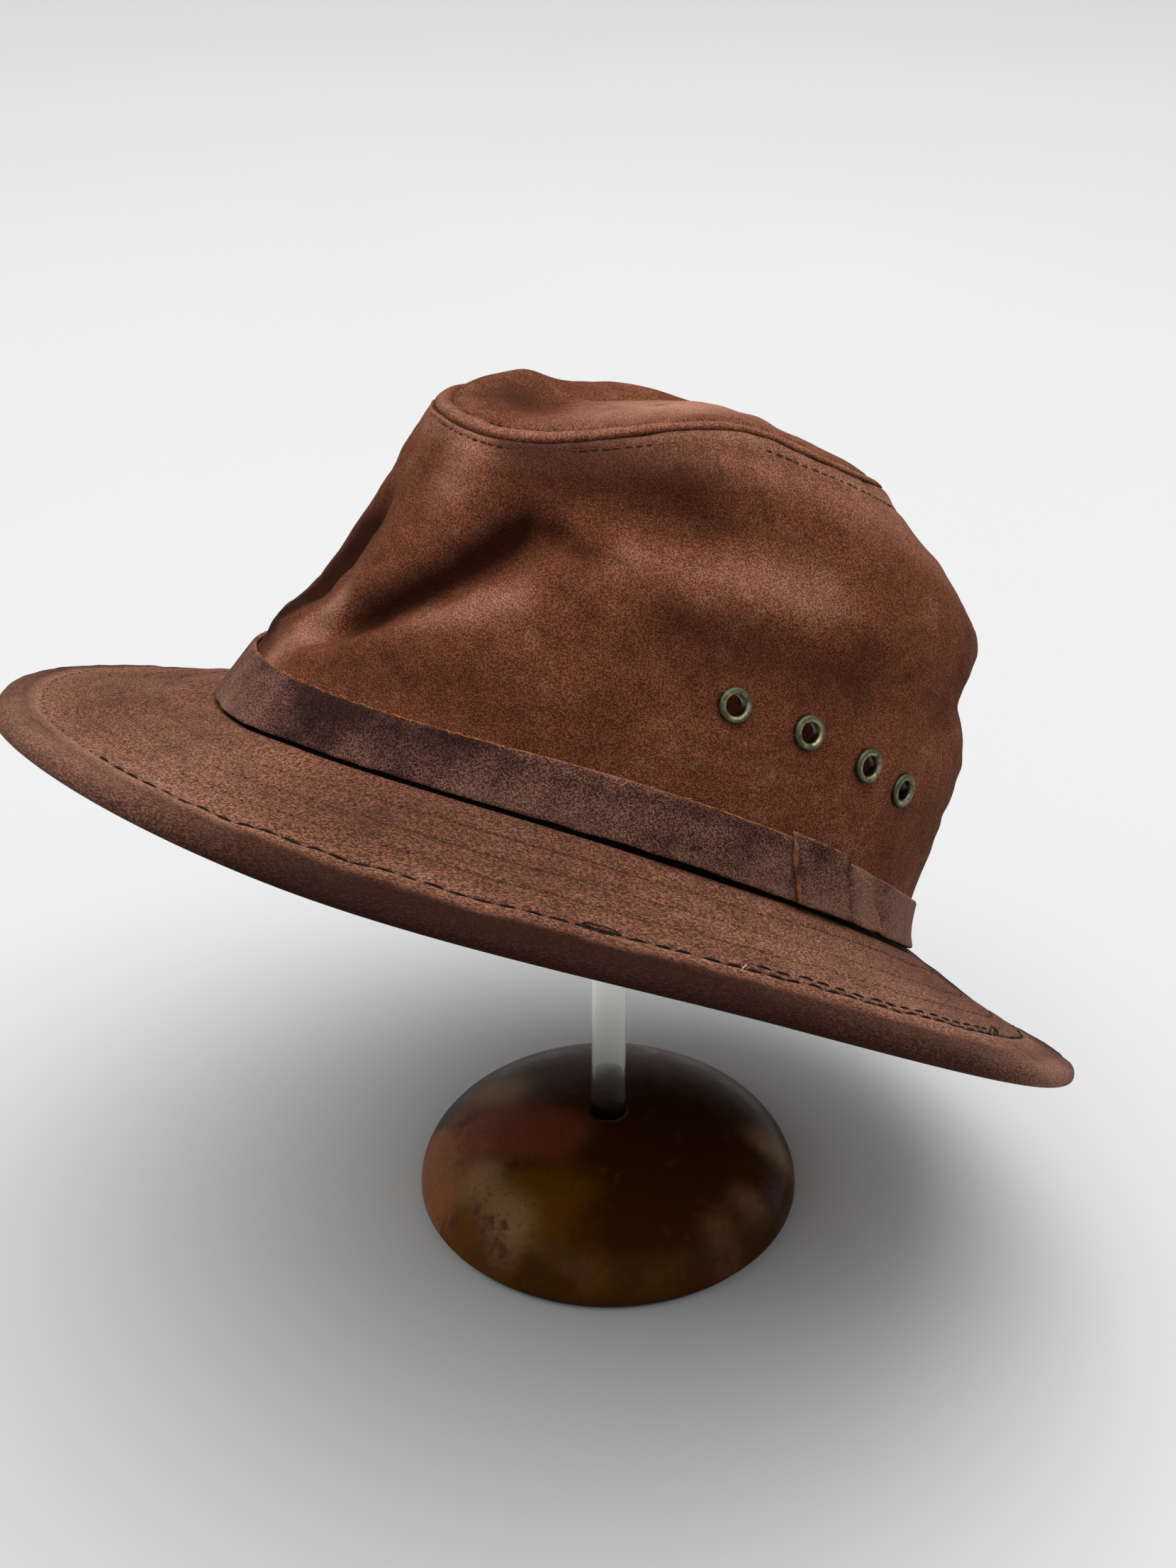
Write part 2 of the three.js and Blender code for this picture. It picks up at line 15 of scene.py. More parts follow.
import bpy
import numpy as np
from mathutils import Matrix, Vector


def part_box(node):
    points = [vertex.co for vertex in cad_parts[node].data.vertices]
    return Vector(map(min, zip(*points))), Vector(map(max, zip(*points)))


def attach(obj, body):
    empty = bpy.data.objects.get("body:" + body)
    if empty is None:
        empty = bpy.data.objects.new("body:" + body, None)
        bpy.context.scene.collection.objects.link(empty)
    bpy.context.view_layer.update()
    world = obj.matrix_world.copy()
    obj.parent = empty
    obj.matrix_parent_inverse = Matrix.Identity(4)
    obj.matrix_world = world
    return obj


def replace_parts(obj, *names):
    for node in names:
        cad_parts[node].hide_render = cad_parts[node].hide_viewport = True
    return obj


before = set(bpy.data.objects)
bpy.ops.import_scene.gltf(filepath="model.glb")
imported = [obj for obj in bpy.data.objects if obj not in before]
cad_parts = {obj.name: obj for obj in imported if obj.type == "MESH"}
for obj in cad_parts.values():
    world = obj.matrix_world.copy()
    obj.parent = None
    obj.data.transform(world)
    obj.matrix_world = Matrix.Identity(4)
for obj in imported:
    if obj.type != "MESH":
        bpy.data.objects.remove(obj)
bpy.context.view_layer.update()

LOG = logging.getLogger("fedora")
Array = np.ndarray
Socket = bpy.types.NodeSocket
Colour = tuple[float, float, float]
Place = tuple[float, float, float]
Pair = tuple[float, float]
Bell = tuple[float, float, float]
Lumps = tuple[float, float, int]
Surface = Callable[[Array, Array], Array]
MILLIMETRE = 0.001
FULL_TURN = 360.0
SEAM_GAP = 0.3
STEP = 1e-3
UP = np.array([0.0, 0.0, 1.0])
WAVES = 14
WAVE_LENGTHS = (0.6, 1.6)
WAVE_PEAK = 1.6


class Slot(Enum):
    """Material slots of the record."""

    CROWN = "crown_leather"
    BRIM = "brim_leather"
    BAND = "band_leather"
    BRASS = "aged_brass"
    GLAZE = "mottled_glaze"
    ACRYLIC = "clear_acrylic"
    PLASTIC = "pale_plastic"


class Side(Enum):
    """The wearer's sides, as the sign of their angles round from the front."""

    LEFT = 1
    RIGHT = -1


class Lay(Enum):
    """What a leather's grain follows: the space it lies in, or the lay of its own sheet."""

    SPACE = "Object"
    SHEET = "lay"


class Glaze(Enum):
    """Colours that lie over the glaze's ground, as the names of their values on the mesh: the glaze's own
    colours, painted reflections of the bright room, and a painted shadow at the foot.
    """

    OCHRE = "ochre"
    PALE = "pale"
    RED = "red"
    ROSY = "rosy"
    VEINS = "veins"
    PURPLE = "purple"
    SHADE = "shade"


# Plain sums


def ramp(value: Array, low: float, high: float) -> Array:
    """Smooth rise from 0 at low to 1 at high."""
    t = np.clip((value - low) / (high - low), 0.0, 1.0)
    return t * t * (3.0 - 2.0 * t)


def unit(vectors: Array) -> Array:
    """Vectors along the last axis, each divided by its length."""
    return vectors / np.maximum(np.linalg.norm(vectors, axis=-1, keepdims=True), 1e-12)


def bell(value: Array, middle: float, width: Array | float) -> Array:
    """Gaussian bell: the exponential of minus the square of the distance from the middle in widths."""
    return np.exp(-(((value - middle) / width) ** 2))


def hump(value: Array, height: float, middle: float, width: float) -> Array:
    """A bell of a given height."""
    return height * bell(value, middle, width)


def mixed(share: Array, start: Array | float, end: Array | float) -> Array:
    """Straight blend from start at share 0 to end at share 1."""
    return start + (end - start) * share


def even_turn(steps: int) -> Array:
    """Even angles round a full turn, in radians."""
    return np.arange(steps) * (2 * math.pi / steps)


def from_front(angle: Array) -> Array:
    """Degrees between an angle and the front, the same on both sides."""
    return np.degrees(np.arccos(np.clip(np.cos(angle), -1, 1)))


def wrapped(degrees: Array) -> Array:
    """Degrees brought between minus and plus half a turn."""
    return (degrees + FULL_TURN / 2) % FULL_TURN - FULL_TURN / 2


def run_along(points: Array) -> Array:
    """Length of a path up to each of its points."""
    return np.concatenate([[0.0], np.cumsum(np.linalg.norm(np.diff(points, axis=0), axis=1))])


def graded(end: float, bend: Pair, power: float, count: int) -> Array:
    """Shares from 0 to an end, whose spacing changes at a bend.

    Up to the bend they rise straight, and from there to the end as a power.

    Args:
        end: The last share.
        bend: Even share of the bend, and the share there.
        power: Power of the second run.
        count: Number of shares.

    Returns:
        The shares.
    """
    even = np.linspace(0.0, end, count)
    reach, level = bend
    above = np.maximum((even - reach) / (end - reach), 0.0) ** power
    return np.where(even < reach, even * (level / reach), level + (end - level) * above)


def along_table(rows: tuple, key: str, column: str, at: Array) -> Array:
    """Smooth cubic pieces through one column of a short table.

    Each piece is a Hermite cubic: its slope at a row is the difference of the neighbouring rows.

    Args:
        rows: The table, in order of its key column.
        key: Name of the column that runs along the table.
        column: Name of the column to read.
        at: Places along the key column.

    Returns:
        The column's value at each place.
    """
    keys = np.array([getattr(row, key) for row in rows], float)
    values = np.array([getattr(row, column) for row in rows], float)
    before = np.maximum(np.arange(len(rows)) - 1, 0)
    after = np.minimum(np.arange(len(rows)) + 1, len(rows) - 1)
    slopes = (values[after] - values[before]) / (keys[after] - keys[before])
    index = np.clip(np.searchsorted(keys, at, side="left") - 1, 0, len(rows) - 2)
    span = keys[index + 1] - keys[index]
    u = np.clip((at - keys[index]) / span, 0.0, 1.0)
    level = mixed(u * u * (3.0 - 2.0 * u), values[index], values[index + 1])
    return level + span * (slopes[index] * u * (1 - u) ** 2 - slopes[index + 1] * u * u * (1 - u))


def unevenness(points: Array, height: float, wavelength: float, seed: int) -> Array:
    """Smooth random unevenness: a mean of sine waves of like length in random directions.

    Args:
        points: Places, in millimetres, along the last axis.
        height: About how far it reaches either way.
        wavelength: Usual length of a wave, in millimetres.
        seed: Seed of the random directions, lengths and phases.

    Returns:
        The unevenness at each place.
    """
    rng = np.random.default_rng(seed)
    directions = unit(rng.normal(size=(WAVES, 3)))
    numbers = 2 * math.pi / (wavelength * rng.uniform(*WAVE_LENGTHS, WAVES))
    phases = rng.uniform(0, 2 * math.pi, WAVES)
    waves = np.sin(points @ (directions * numbers[:, None]).T + phases)
    return height * (waves.sum(axis=-1) * math.sqrt(2.0 / WAVES) / WAVE_PEAK)


# Meshes


class Shape(NamedTuple):
    """Points in millimetres, faces as rows of three or four indices, and named values at the points."""

    points: Array
    faces: tuple[Array, ...]
    values: dict[str, Array] = {}


def grid_faces(rows: int, columns: int, round_rows: bool, round_columns: bool) -> Array:
    """Four-cornered faces of a grid of points that are numbered row by row.

    Args:
        rows: Number of rows.
        columns: Number of points in a row.
        round_rows: Whether the last row joins the first.
        round_columns: Whether each row's end joins its start.

    Returns:
        Corner indices, one face a row, facing along rows crossed with columns.
    """
    row = np.arange(rows if round_rows else rows - 1)
    column = np.arange(columns if round_columns else columns - 1)
    row, column = np.meshgrid(row, column, indexing="ij")
    next_row, next_column = (row + 1) % rows, (column + 1) % columns
    corners = [
        row * columns + column,
        next_row * columns + column,
        next_row * columns + next_column,
        row * columns + next_column,
    ]
    return np.stack(corners, axis=-1).reshape(-1, 4)


def fan(ring: Array, pole: int) -> Array:
    """Triangles from each step of a closed ring of points to a pole."""
    return np.stack([ring, np.roll(ring, -1), np.full(len(ring), pole)], axis=-1)


def joined(shapes: list[Shape]) -> Shape:
    """One shape made of several, which carry no values."""
    starts = np.cumsum([0] + [len(shape.points) for shape in shapes])
    faces = [part + start for shape, start in zip(shapes, starts) for part in shape.faces]
    return Shape(np.concatenate([shape.points for shape in shapes]), tuple(faces))


def strands(paths: Array, ups: Array, radii: Array, sides: int, flat: float = 1.0) -> Shape:
    """Round or flattened threads along many short paths at once.

    A ring of points stands round each step of a path, across its tangent, and its ends are closed.

    Args:
        paths: Points of each path, as count by steps by 3.
        ups: Direction at each point in which the thread is flattened.
        radii: Radius at each point.
        sides: Points of a ring, an even number.
        flat: Thickness along ups, as a share of the width.

    Returns:
        All threads as one shape.
    """
    count, steps, _ = paths.shape
    tangents = unit(np.gradient(paths, axis=1))
    across = unit(np.cross(tangents, ups))
    upright = np.cross(across, tangents)
    turn = even_turn(sides)[:, None]
    ring = np.cos(turn) * across[:, :, None] + flat * np.sin(turn) * upright[:, :, None]
    points = paths[:, :, None] + radii[:, :, None, None] * ring
    starts = (np.arange(count) * steps * sides)[:, None, None]
    walls = grid_faces(steps, sides, False, True)[None] + starts
    half = np.arange(1, sides // 2)
    end = np.stack([half - 1, half, sides - 1 - half, (sides - half) % sides], axis=-1)
    ends = np.concatenate([end, end[:, ::-1] + (steps - 1) * sides])[None] + starts
    return Shape(points.reshape(-1, 3), (walls.reshape(-1, 4), ends.reshape(-1, 4)))


def lathe(profile: Array, sides: int) -> Shape:
    """A profile of radius and height, carried round the Z axis.

    Faces look outwards where it runs up. An end on the axis becomes a pole, and other ends stay open, unless
    the profile comes back to its start.

    Args:
        profile: Rows of radius and height.
        sides: Steps round the axis.

    Returns:
        The turned shape.
    """
    turn = even_turn(sides)[:, None]
    closed = np.allclose(profile[0], profile[-1])
    low_pole, high_pole = profile[[0, -1], 0] == 0.0
    rings = profile[int(low_pole) : len(profile) - int(high_pole or closed)]
    radius, height = rings.T[:, None]
    grid = np.broadcast_arrays(radius * np.cos(turn), radius * np.sin(turn), height)
    points = np.stack(grid, axis=-1).reshape(-1, 3)
    faces = [grid_faces(sides, len(rings), True, closed)]
    here = np.arange(sides) * len(rings)
    if low_pole:
        faces.append(fan(here, len(points))[:, ::-1])
        points = np.append(points, [[0.0, 0.0, profile[0, 1]]], axis=0)
    if high_pole:
        faces.append(fan(here + len(rings) - 1, len(points)))
        points = np.append(points, [[0.0, 0.0, profile[-1, 1]]], axis=0)
    return Shape(points, tuple(faces))


def make_object(name: str, shape: Shape, material: bpy.types.Material) -> bpy.types.Object:
    """A smooth mesh object in the row frame.

    Args:
        name: The object's name.
        shape: Its points in millimetres in the row frame, its faces and its values.
        material: Its material.

    Returns:
        The new object.
    """
    mesh = bpy.data.meshes.new(name)
    mesh.vertices.add(len(shape.points))
    mesh.vertices.foreach_set("co", (shape.points * MILLIMETRE).astype(np.float32).ravel())
    corners = np.concatenate([part.ravel() for part in shape.faces]).astype(np.int32)
    sizes = np.concatenate([np.full(len(part), part.shape[1]) for part in shape.faces])
    mesh.loops.add(len(corners))
    mesh.loops.foreach_set("vertex_index", corners)
    mesh.polygons.add(len(sizes))
    mesh.polygons.foreach_set("loop_start", (np.cumsum(sizes) - sizes).astype(np.int32))
    mesh.polygons.foreach_set("use_smooth", np.ones(len(sizes), bool))
    mesh.update(calc_edges=True)
    mesh.validate()
    for value_name, values in shape.values.items():
        is_vector = values.ndim == 2
        attribute = mesh.attributes.new(value_name, "FLOAT_VECTOR" if is_vector else "FLOAT", "POINT")
        attribute.data.foreach_set("vector" if is_vector else "value", values.astype(np.float32).ravel())
    mesh.materials.append(material)
    made = bpy.data.objects.new(name, mesh)
    bpy.context.scene.collection.objects.link(made)
    LOG.info("%s: %d points, %d faces", name, len(shape.points), len(sizes))
    return made


def make_piece(name: str, shape: Shape, material: bpy.types.Material) -> bpy.types.Object:
    """An object that rides on the one body, with the material it is given."""
    piece = make_object(name, shape, material)
    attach(piece, "root")
    return piece


def stand_in(node: str, shape: Shape, material: bpy.types.Material) -> None:
    """A piece that takes the place of a node of the solids."""
    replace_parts(make_piece(f"fine_{node}", shape, material), node)


# Finishes


class Noise(NamedTuple):
    """Soft noise: its usual size in millimetres, its octaves and how rough they make it."""

    size: float
    detail: float
    rough: float


class Nodes:
    """Adds nodes to one tree and joins them."""

    def __init__(self, tree: bpy.types.NodeTree) -> None:
        """Keeps the tree."""
        self.tree = tree

    def feed(self, node: bpy.types.Node, inputs: dict) -> None:
        """Sets or joins a node's inputs.

        Args:
            node: The node.
            inputs: Sockets, or plain values, by the input's name or number.
        """
        for name, value in inputs.items():
            socket = node.inputs[name]
            if isinstance(value, Socket):
                self.tree.links.new(value, socket)
            else:
                socket.default_value = (*value, 1.0) if socket.type == "RGBA" else value

    def add(self, kind: str, inputs: dict, **settings: object) -> bpy.types.Node:
        """A node with its inputs set or joined.

        Args:
            kind: Blender's name for the node's type.
            inputs: Sockets, or plain values, by the input's name or number.
            settings: Properties of the node, which are set first.

        Returns:
            The new node.
        """
        node = self.tree.nodes.new(kind)
        for name, value in settings.items():
            setattr(node, name, value)
        self.feed(node, inputs)
        return node

    def math(self, operation: str, first: object, second: object) -> Socket:
        """The result of one sum of two numbers."""
        return self.add("ShaderNodeMath", {0: first, 1: second}, operation=operation).outputs[0]

    def blend(self, share: float, first: object, second: object) -> Socket:
        """A share of the first number and the rest of the second."""
        parts = self.math("MULTIPLY", first, share), self.math("MULTIPLY", second, 1.0 - share)
        return self.math("ADD", *parts)

    def remap(self, value: object, span: Pair, to: Pair = (0.0, 1.0)) -> Socket:
        """A value carried, and held, from one span to another, with soft ends."""
        sockets = {"Value": value, "From Min": span[0], "From Max": span[1], "To Min": to[0], "To Max": to[1]}
        return self.add("ShaderNodeMapRange", sockets, interpolation_type="SMOOTHSTEP").outputs[0]

    def mix(self, share: object, first: object, second: object, blend: str = "MIX") -> Socket:
        """A blend of two colours."""
        sockets = {0: share, 6: first, 7: second}
        return self.add("ShaderNodeMix", sockets, data_type="RGBA", blend_type=blend).outputs[2]

    def scaled_noise(self, vector: object, scale: object, detail: float, rough: float) -> Socket:
        """Soft noise of about 0 to 1, by its scale in a metre."""
        sockets = {"Vector": vector, "Scale": scale, "Detail": detail, "Roughness": rough}
        return self.add("ShaderNodeTexNoise", sockets).outputs[0]

    def noise(self, vector: object, noise: Noise) -> Socket:
        """Soft noise of about 0 to 1, by its size in millimetres."""
        return self.scaled_noise(vector, 1 / (noise.size * MILLIMETRE), noise.detail, noise.rough)

    def place(self) -> Socket:
        """The place of a point in its object's own frame."""
        return self.add("ShaderNodeTexCoord", {}).outputs["Object"]

    def value(self, name: str) -> Socket:
        """A named number of the mesh."""
        return self.add("ShaderNodeAttribute", {}, attribute_name=name).outputs["Fac"]

    def lay(self, name: str) -> Socket:
        """A named vector of the mesh."""
        return self.add("ShaderNodeAttribute", {}, attribute_name=name).outputs["Vector"]

    def bump(self, height: Socket, depth: float, strength: float = 1.0) -> Socket:
        """A normal roughened by a height, whose depth is in millimetres."""
        sockets = {"Height": height, "Distance": depth * MILLIMETRE, "Strength": strength}
        return self.add("ShaderNodeBump", sockets).outputs[0]


class Group(NamedTuple):
    """A new shader node group: its nodes, its input sockets by name and its output node."""

    nodes: Nodes
    given: dict[str, Socket]
    result: bpy.types.Node


def new_group(name: str, inputs: dict[str, str], outputs: dict[str, str]) -> Group:
    """An empty shader node group with its sockets.

    Args:
        name: The group's name.
        inputs: Kind of socket by input name.
        outputs: Kind of socket by output name.

    Returns:
        The group.
    """
    tree = bpy.data.node_groups.new(name, "ShaderNodeTree")
    for way, sockets in (("INPUT", inputs), ("OUTPUT", outputs)):
        for socket_name, kind in sockets.items():
            tree.interface.new_socket(socket_name, in_out=way, socket_type=f"NodeSocket{kind}")
    nodes = Nodes(tree)
    source = nodes.add("NodeGroupInput", {})
    given = {socket_name: source.outputs[socket_name] for socket_name in inputs}
    return Group(nodes, given, nodes.add("NodeGroupOutput", {}))


@cache
def nap_group() -> bpy.types.NodeTree:
    """Grain of a brushed leather: cloudy mottling, dark pits and a pebbled height.

    Mottling is broad noise with finer noise laid over it. Pits are where two fine noises together are high,
    and the height is low there.

    Returns:
        The group, with the outputs Mottle, Pores and Height.
    """
    close_times, speck_times = 5.3, 0.6
    mottle_span, pore_span = (0.25, 0.75), (0.42, 0.6)
    inputs = {"Vector": "Vector", "Grain Scale": "Float", "Mottle Scale": "Float"}
    outputs = {"Mottle": "Float", "Pores": "Float", "Height": "Float"}
    nodes, given, result = new_group("NapGrain", inputs, outputs)
    vector, grain, mottle = given.values()
    broad = nodes.scaled_noise(vector, mottle, 4.0, 0.55)
    close = nodes.scaled_noise(vector, nodes.math("MULTIPLY", mottle, close_times), 3.0, 0.6)
    fine = nodes.scaled_noise(vector, grain, 1.5, 0.65)
    specks = nodes.scaled_noise(vector, nodes.math("MULTIPLY", grain, speck_times), 2.0, 0.6)
    pits = nodes.blend(0.5, fine, specks)
    made = {
        "Mottle": nodes.remap(nodes.blend(0.6, broad, close), mottle_span),
        "Pores": nodes.remap(pits, pore_span),
        "Height": nodes.math("SUBTRACT", 1.0, pits),
    }
    nodes.feed(result, made)
    return nodes.tree


@cache
def rub_and_light_group() -> bpy.types.NodeTree:
    """Colour of a waxed leather: paler where it is pulled and scuffed and where a highlight is painted, darker
    where it is folded and where shade is painted.

    Returns:
        The group, with the output Colour.
    """
    most_dark, most_light, least_worn_and_lit = 0.45, 0.26, 0.55
    colours = dict.fromkeys(("Light", "Middle", "Dark"), "Color")
    inputs = colours | dict.fromkeys(("Mottle", "Rub", "Crease"), "Float")
    nodes, given, result = new_group("RubbedAndLitColour", inputs, {"Colour": "Color"})
    mottle = given["Mottle"]
    cloudy = nodes.mix(nodes.remap(mottle, (0.0, 0.5), (most_dark, 0.0)), given["Middle"], given["Dark"])
    cloudy = nodes.mix(nodes.remap(mottle, (0.5, 1.0), (0.0, most_light)), cloudy, given["Light"])
    # Scuffed leather and painted highlights turn it towards the light colour.
    worn_and_lit = nodes.math("MULTIPLY", given["Rub"], nodes.remap(mottle, (0.0, 0.6), (least_worn_and_lit, 1.0)))
    rubbed_and_lit = nodes.mix(worn_and_lit, cloudy, given["Light"])
    nodes.feed(result, {"Colour": nodes.mix(given["Crease"], rubbed_and_lit, given["Dark"])})
    return nodes.tree


@dataclass(frozen=True)
class Finish:
    """Base of all finishes: a material with one Principled shader. Colours are in linear light."""

    name: str

    def material(self) -> bpy.types.Material:
        """Builds the material from the shader's inputs.

        Returns:
            The new material.
        """
        material = bpy.data.materials.new(self.name)
        material.use_nodes = True
        nodes = Nodes(material.node_tree)
        nodes.feed(material.node_tree.nodes["Principled BSDF"], self.inputs(nodes))
        return material

    def inputs(self, nodes: Nodes) -> dict[str, object]:
        """Sockets or plain values of the shader by name, which each finish works out."""
        raise NotImplementedError


@dataclass(frozen=True)
class LeatherFinish(Finish):
    """A waxed, brushed leather, with its grain and its mottling in millimetres."""

    light: Colour
    middle: Colour
    dark: Colour
    grain: float
    pores: float
    mottle: float = 26.0
    relief: float = 0.8
    roughness: Pair = (0.7, 0.85)
    shine: float = 0.04
    nap: float = 0.8
    nap_tint: Colour = (1.9, 1.85, 1.8)
    nap_span: Pair = (0.5, 0.0)
    # Share of the pores left where the leather is scuffed and where a highlight is painted.
    worn_and_lit_grain: float = 0.45
    raw: Colour = (0.3, 0.115, 0.05)
    raw_bits: Noise = Noise(3.0, 2.0, 0.6)
    raw_span: Pair = (0.38, 0.6)
    raw_least: float = 0.15
    # Colour of the painted shade deep in a gap.
    painted_shade: Colour = (0.006, 0.004, 0.004)
    lay: Lay = Lay.SPACE

    def inputs(self, nodes: Nodes) -> dict[str, object]:
        """Works out the shader's inputs.

        The mesh's own values make it paler where it is scuffed and where a highlight is painted, and darker
        where it is folded and where shade is painted. Raw shows the cut edge's fibres, and a painted shade
        blackens what lies deep in a gap.

        Args:
            nodes: Nodes of the material.

        Returns:
            Sockets or values by name.
        """
        vector = nodes.place() if self.lay is Lay.SPACE else nodes.lay(self.lay.value)
        # Paler where scuffed and where a highlight is painted.
        rub = nodes.value("rub")
        sizes = {
            "Vector": vector,
            "Grain Scale": 1 / (self.grain * MILLIMETRE),
            "Mottle Scale": 1 / (self.mottle * MILLIMETRE),
        }
        grain = nodes.add("ShaderNodeGroup", sizes, node_tree=nap_group()).outputs
        light_and_shade_tones = {
            "Light": self.light,
            "Middle": self.middle,
            "Dark": self.dark,
            "Mottle": grain["Mottle"],
            "Rub": rub,
            # Darker in folds and where shade is painted.
            "Crease": nodes.value("crease"),
        }
        colour = nodes.add("ShaderNodeGroup", light_and_shade_tones, node_tree=rub_and_light_group()).outputs["Colour"]
        worn_and_lit = nodes.remap(rub, (0.0, 1.0), (1.0, self.worn_and_lit_grain))
        pores = nodes.math("MULTIPLY", nodes.math("MULTIPLY", grain["Pores"], self.pores), worn_and_lit)
        speckled = nodes.mix(pores, colour, self.dark)
        naps = nodes.math("MULTIPLY", nodes.remap(grain["Pores"], self.nap_span, (0.0, self.nap)), worn_and_lit)
        napped = nodes.mix(naps, speckled, nodes.mix(1.0, colour, self.nap_tint, "MULTIPLY"))
        broken = nodes.remap(nodes.noise(vector, self.raw_bits), self.raw_span, (self.raw_least, 1.0))
        frayed = nodes.mix(nodes.math("MULTIPLY", nodes.value("raw"), broken), napped, self.raw)
        return {
            # Painted shade blackens what lies deep in a gap.
            "Base Color": nodes.mix(nodes.value("painted_shade"), frayed, self.painted_shade),
            "Roughness": nodes.remap(grain["Mottle"], (0.0, 1.0), self.roughness),
            "Normal": nodes.bump(grain["Height"], self.relief),
            "Specular IOR Level": self.shine,
        }


@dataclass(frozen=True)
class DullFinish(Finish):
    """Waxed thread, a loose fibre or satin plastic: a ground with streaks or stains, over a fine stipple."""

    ground: Colour
    streak: Colour
    streaks: Noise = Noise(1.5, 3.0, 0.6)
    streak_span: Pair = (0.35, 0.65)
    rough_span: Pair = (0.3, 0.7)
    roughness: Pair = (0.7, 0.7)
    stipple: Noise = Noise(0.25, 1.0, 0.5)
    relief: float = 0.1
    shine: float = 0.1

    def inputs(self, nodes: Nodes) -> dict[str, object]:
        """Works out the shader's inputs from noise between the two colours.

        Args:
            nodes: Nodes of the material.

        Returns:
            Sockets or values by name.
        """
        vector = nodes.place()
        streaks = nodes.noise(vector, self.streaks)
        return {
            "Base Color": nodes.mix(nodes.remap(streaks, self.streak_span), self.ground, self.streak),
            "Roughness": nodes.remap(streaks, self.rough_span, self.roughness),
            "Normal": nodes.bump(nodes.noise(vector, self.stipple), self.relief),
            "Specular IOR Level": self.shine,
        }


@dataclass(frozen=True)
class BrassFinish(Finish):
    """Dulled brass with a green-brown patina, scuffed brighter and given a painted highlight in places,
    with painted shade inside.
    """

    bright: Colour = (0.34, 0.29, 0.16)
    dull: Colour = (0.062, 0.062, 0.033)
    green: Colour = (0.036, 0.054, 0.034)
    # Colour of the painted shade inside the barrel.
    barrel_shade: Colour = (0.012, 0.011, 0.006)
    tarnish: Noise = Noise(2.2, 4.0, 0.6)
    worn_and_lit_span: Pair = (0.35, 0.6)
    patina: Noise = Noise(1.3, 5.0, 0.65)
    green_span: Pair = (0.42, 0.62)
    metal_span: Pair = (0.4, 0.62)
    metal: Pair = (0.95, 0.6)
    rough_span: Pair = (0.3, 0.7)
    roughness: Pair = (0.48, 0.32)
    relief: float = 0.12

    def inputs(self, nodes: Nodes) -> dict[str, object]:
        """Works out the shader's inputs from two noises, one for the tarnish and one for the green.

        Args:
            nodes: Nodes of the material.

        Returns:
            Sockets or values by name.
        """
        vector = nodes.place()
        tarnish = nodes.noise(vector, self.tarnish)
        patina = nodes.noise(vector, self.patina)
        worn_and_lit = nodes.math("MULTIPLY", nodes.value("rub"), nodes.remap(tarnish, self.worn_and_lit_span))
        green = nodes.math("MULTIPLY", nodes.value("crease"), nodes.remap(patina, self.green_span))
        colour = nodes.mix(worn_and_lit, self.dull, self.bright)
        colour = nodes.mix(green, colour, self.green)
        return {
            "Base Color": nodes.mix(nodes.value("painted_shade"), colour, self.barrel_shade),
            "Metallic": nodes.remap(patina, self.metal_span, self.metal),
            "Roughness": nodes.remap(tarnish, self.rough_span, self.roughness),
            "Normal": nodes.bump(patina, self.relief),
        }


class GlazeLayer(NamedTuple):
    """One layer laid on the glaze, a colour of its own or a painted reflection or shadow, and how far noise,
    soft or flaky, breaks its clouds up.
    """

    glaze: Glaze
    colour: Colour
    is_flaky: bool
    breakup: float
    span: Pair


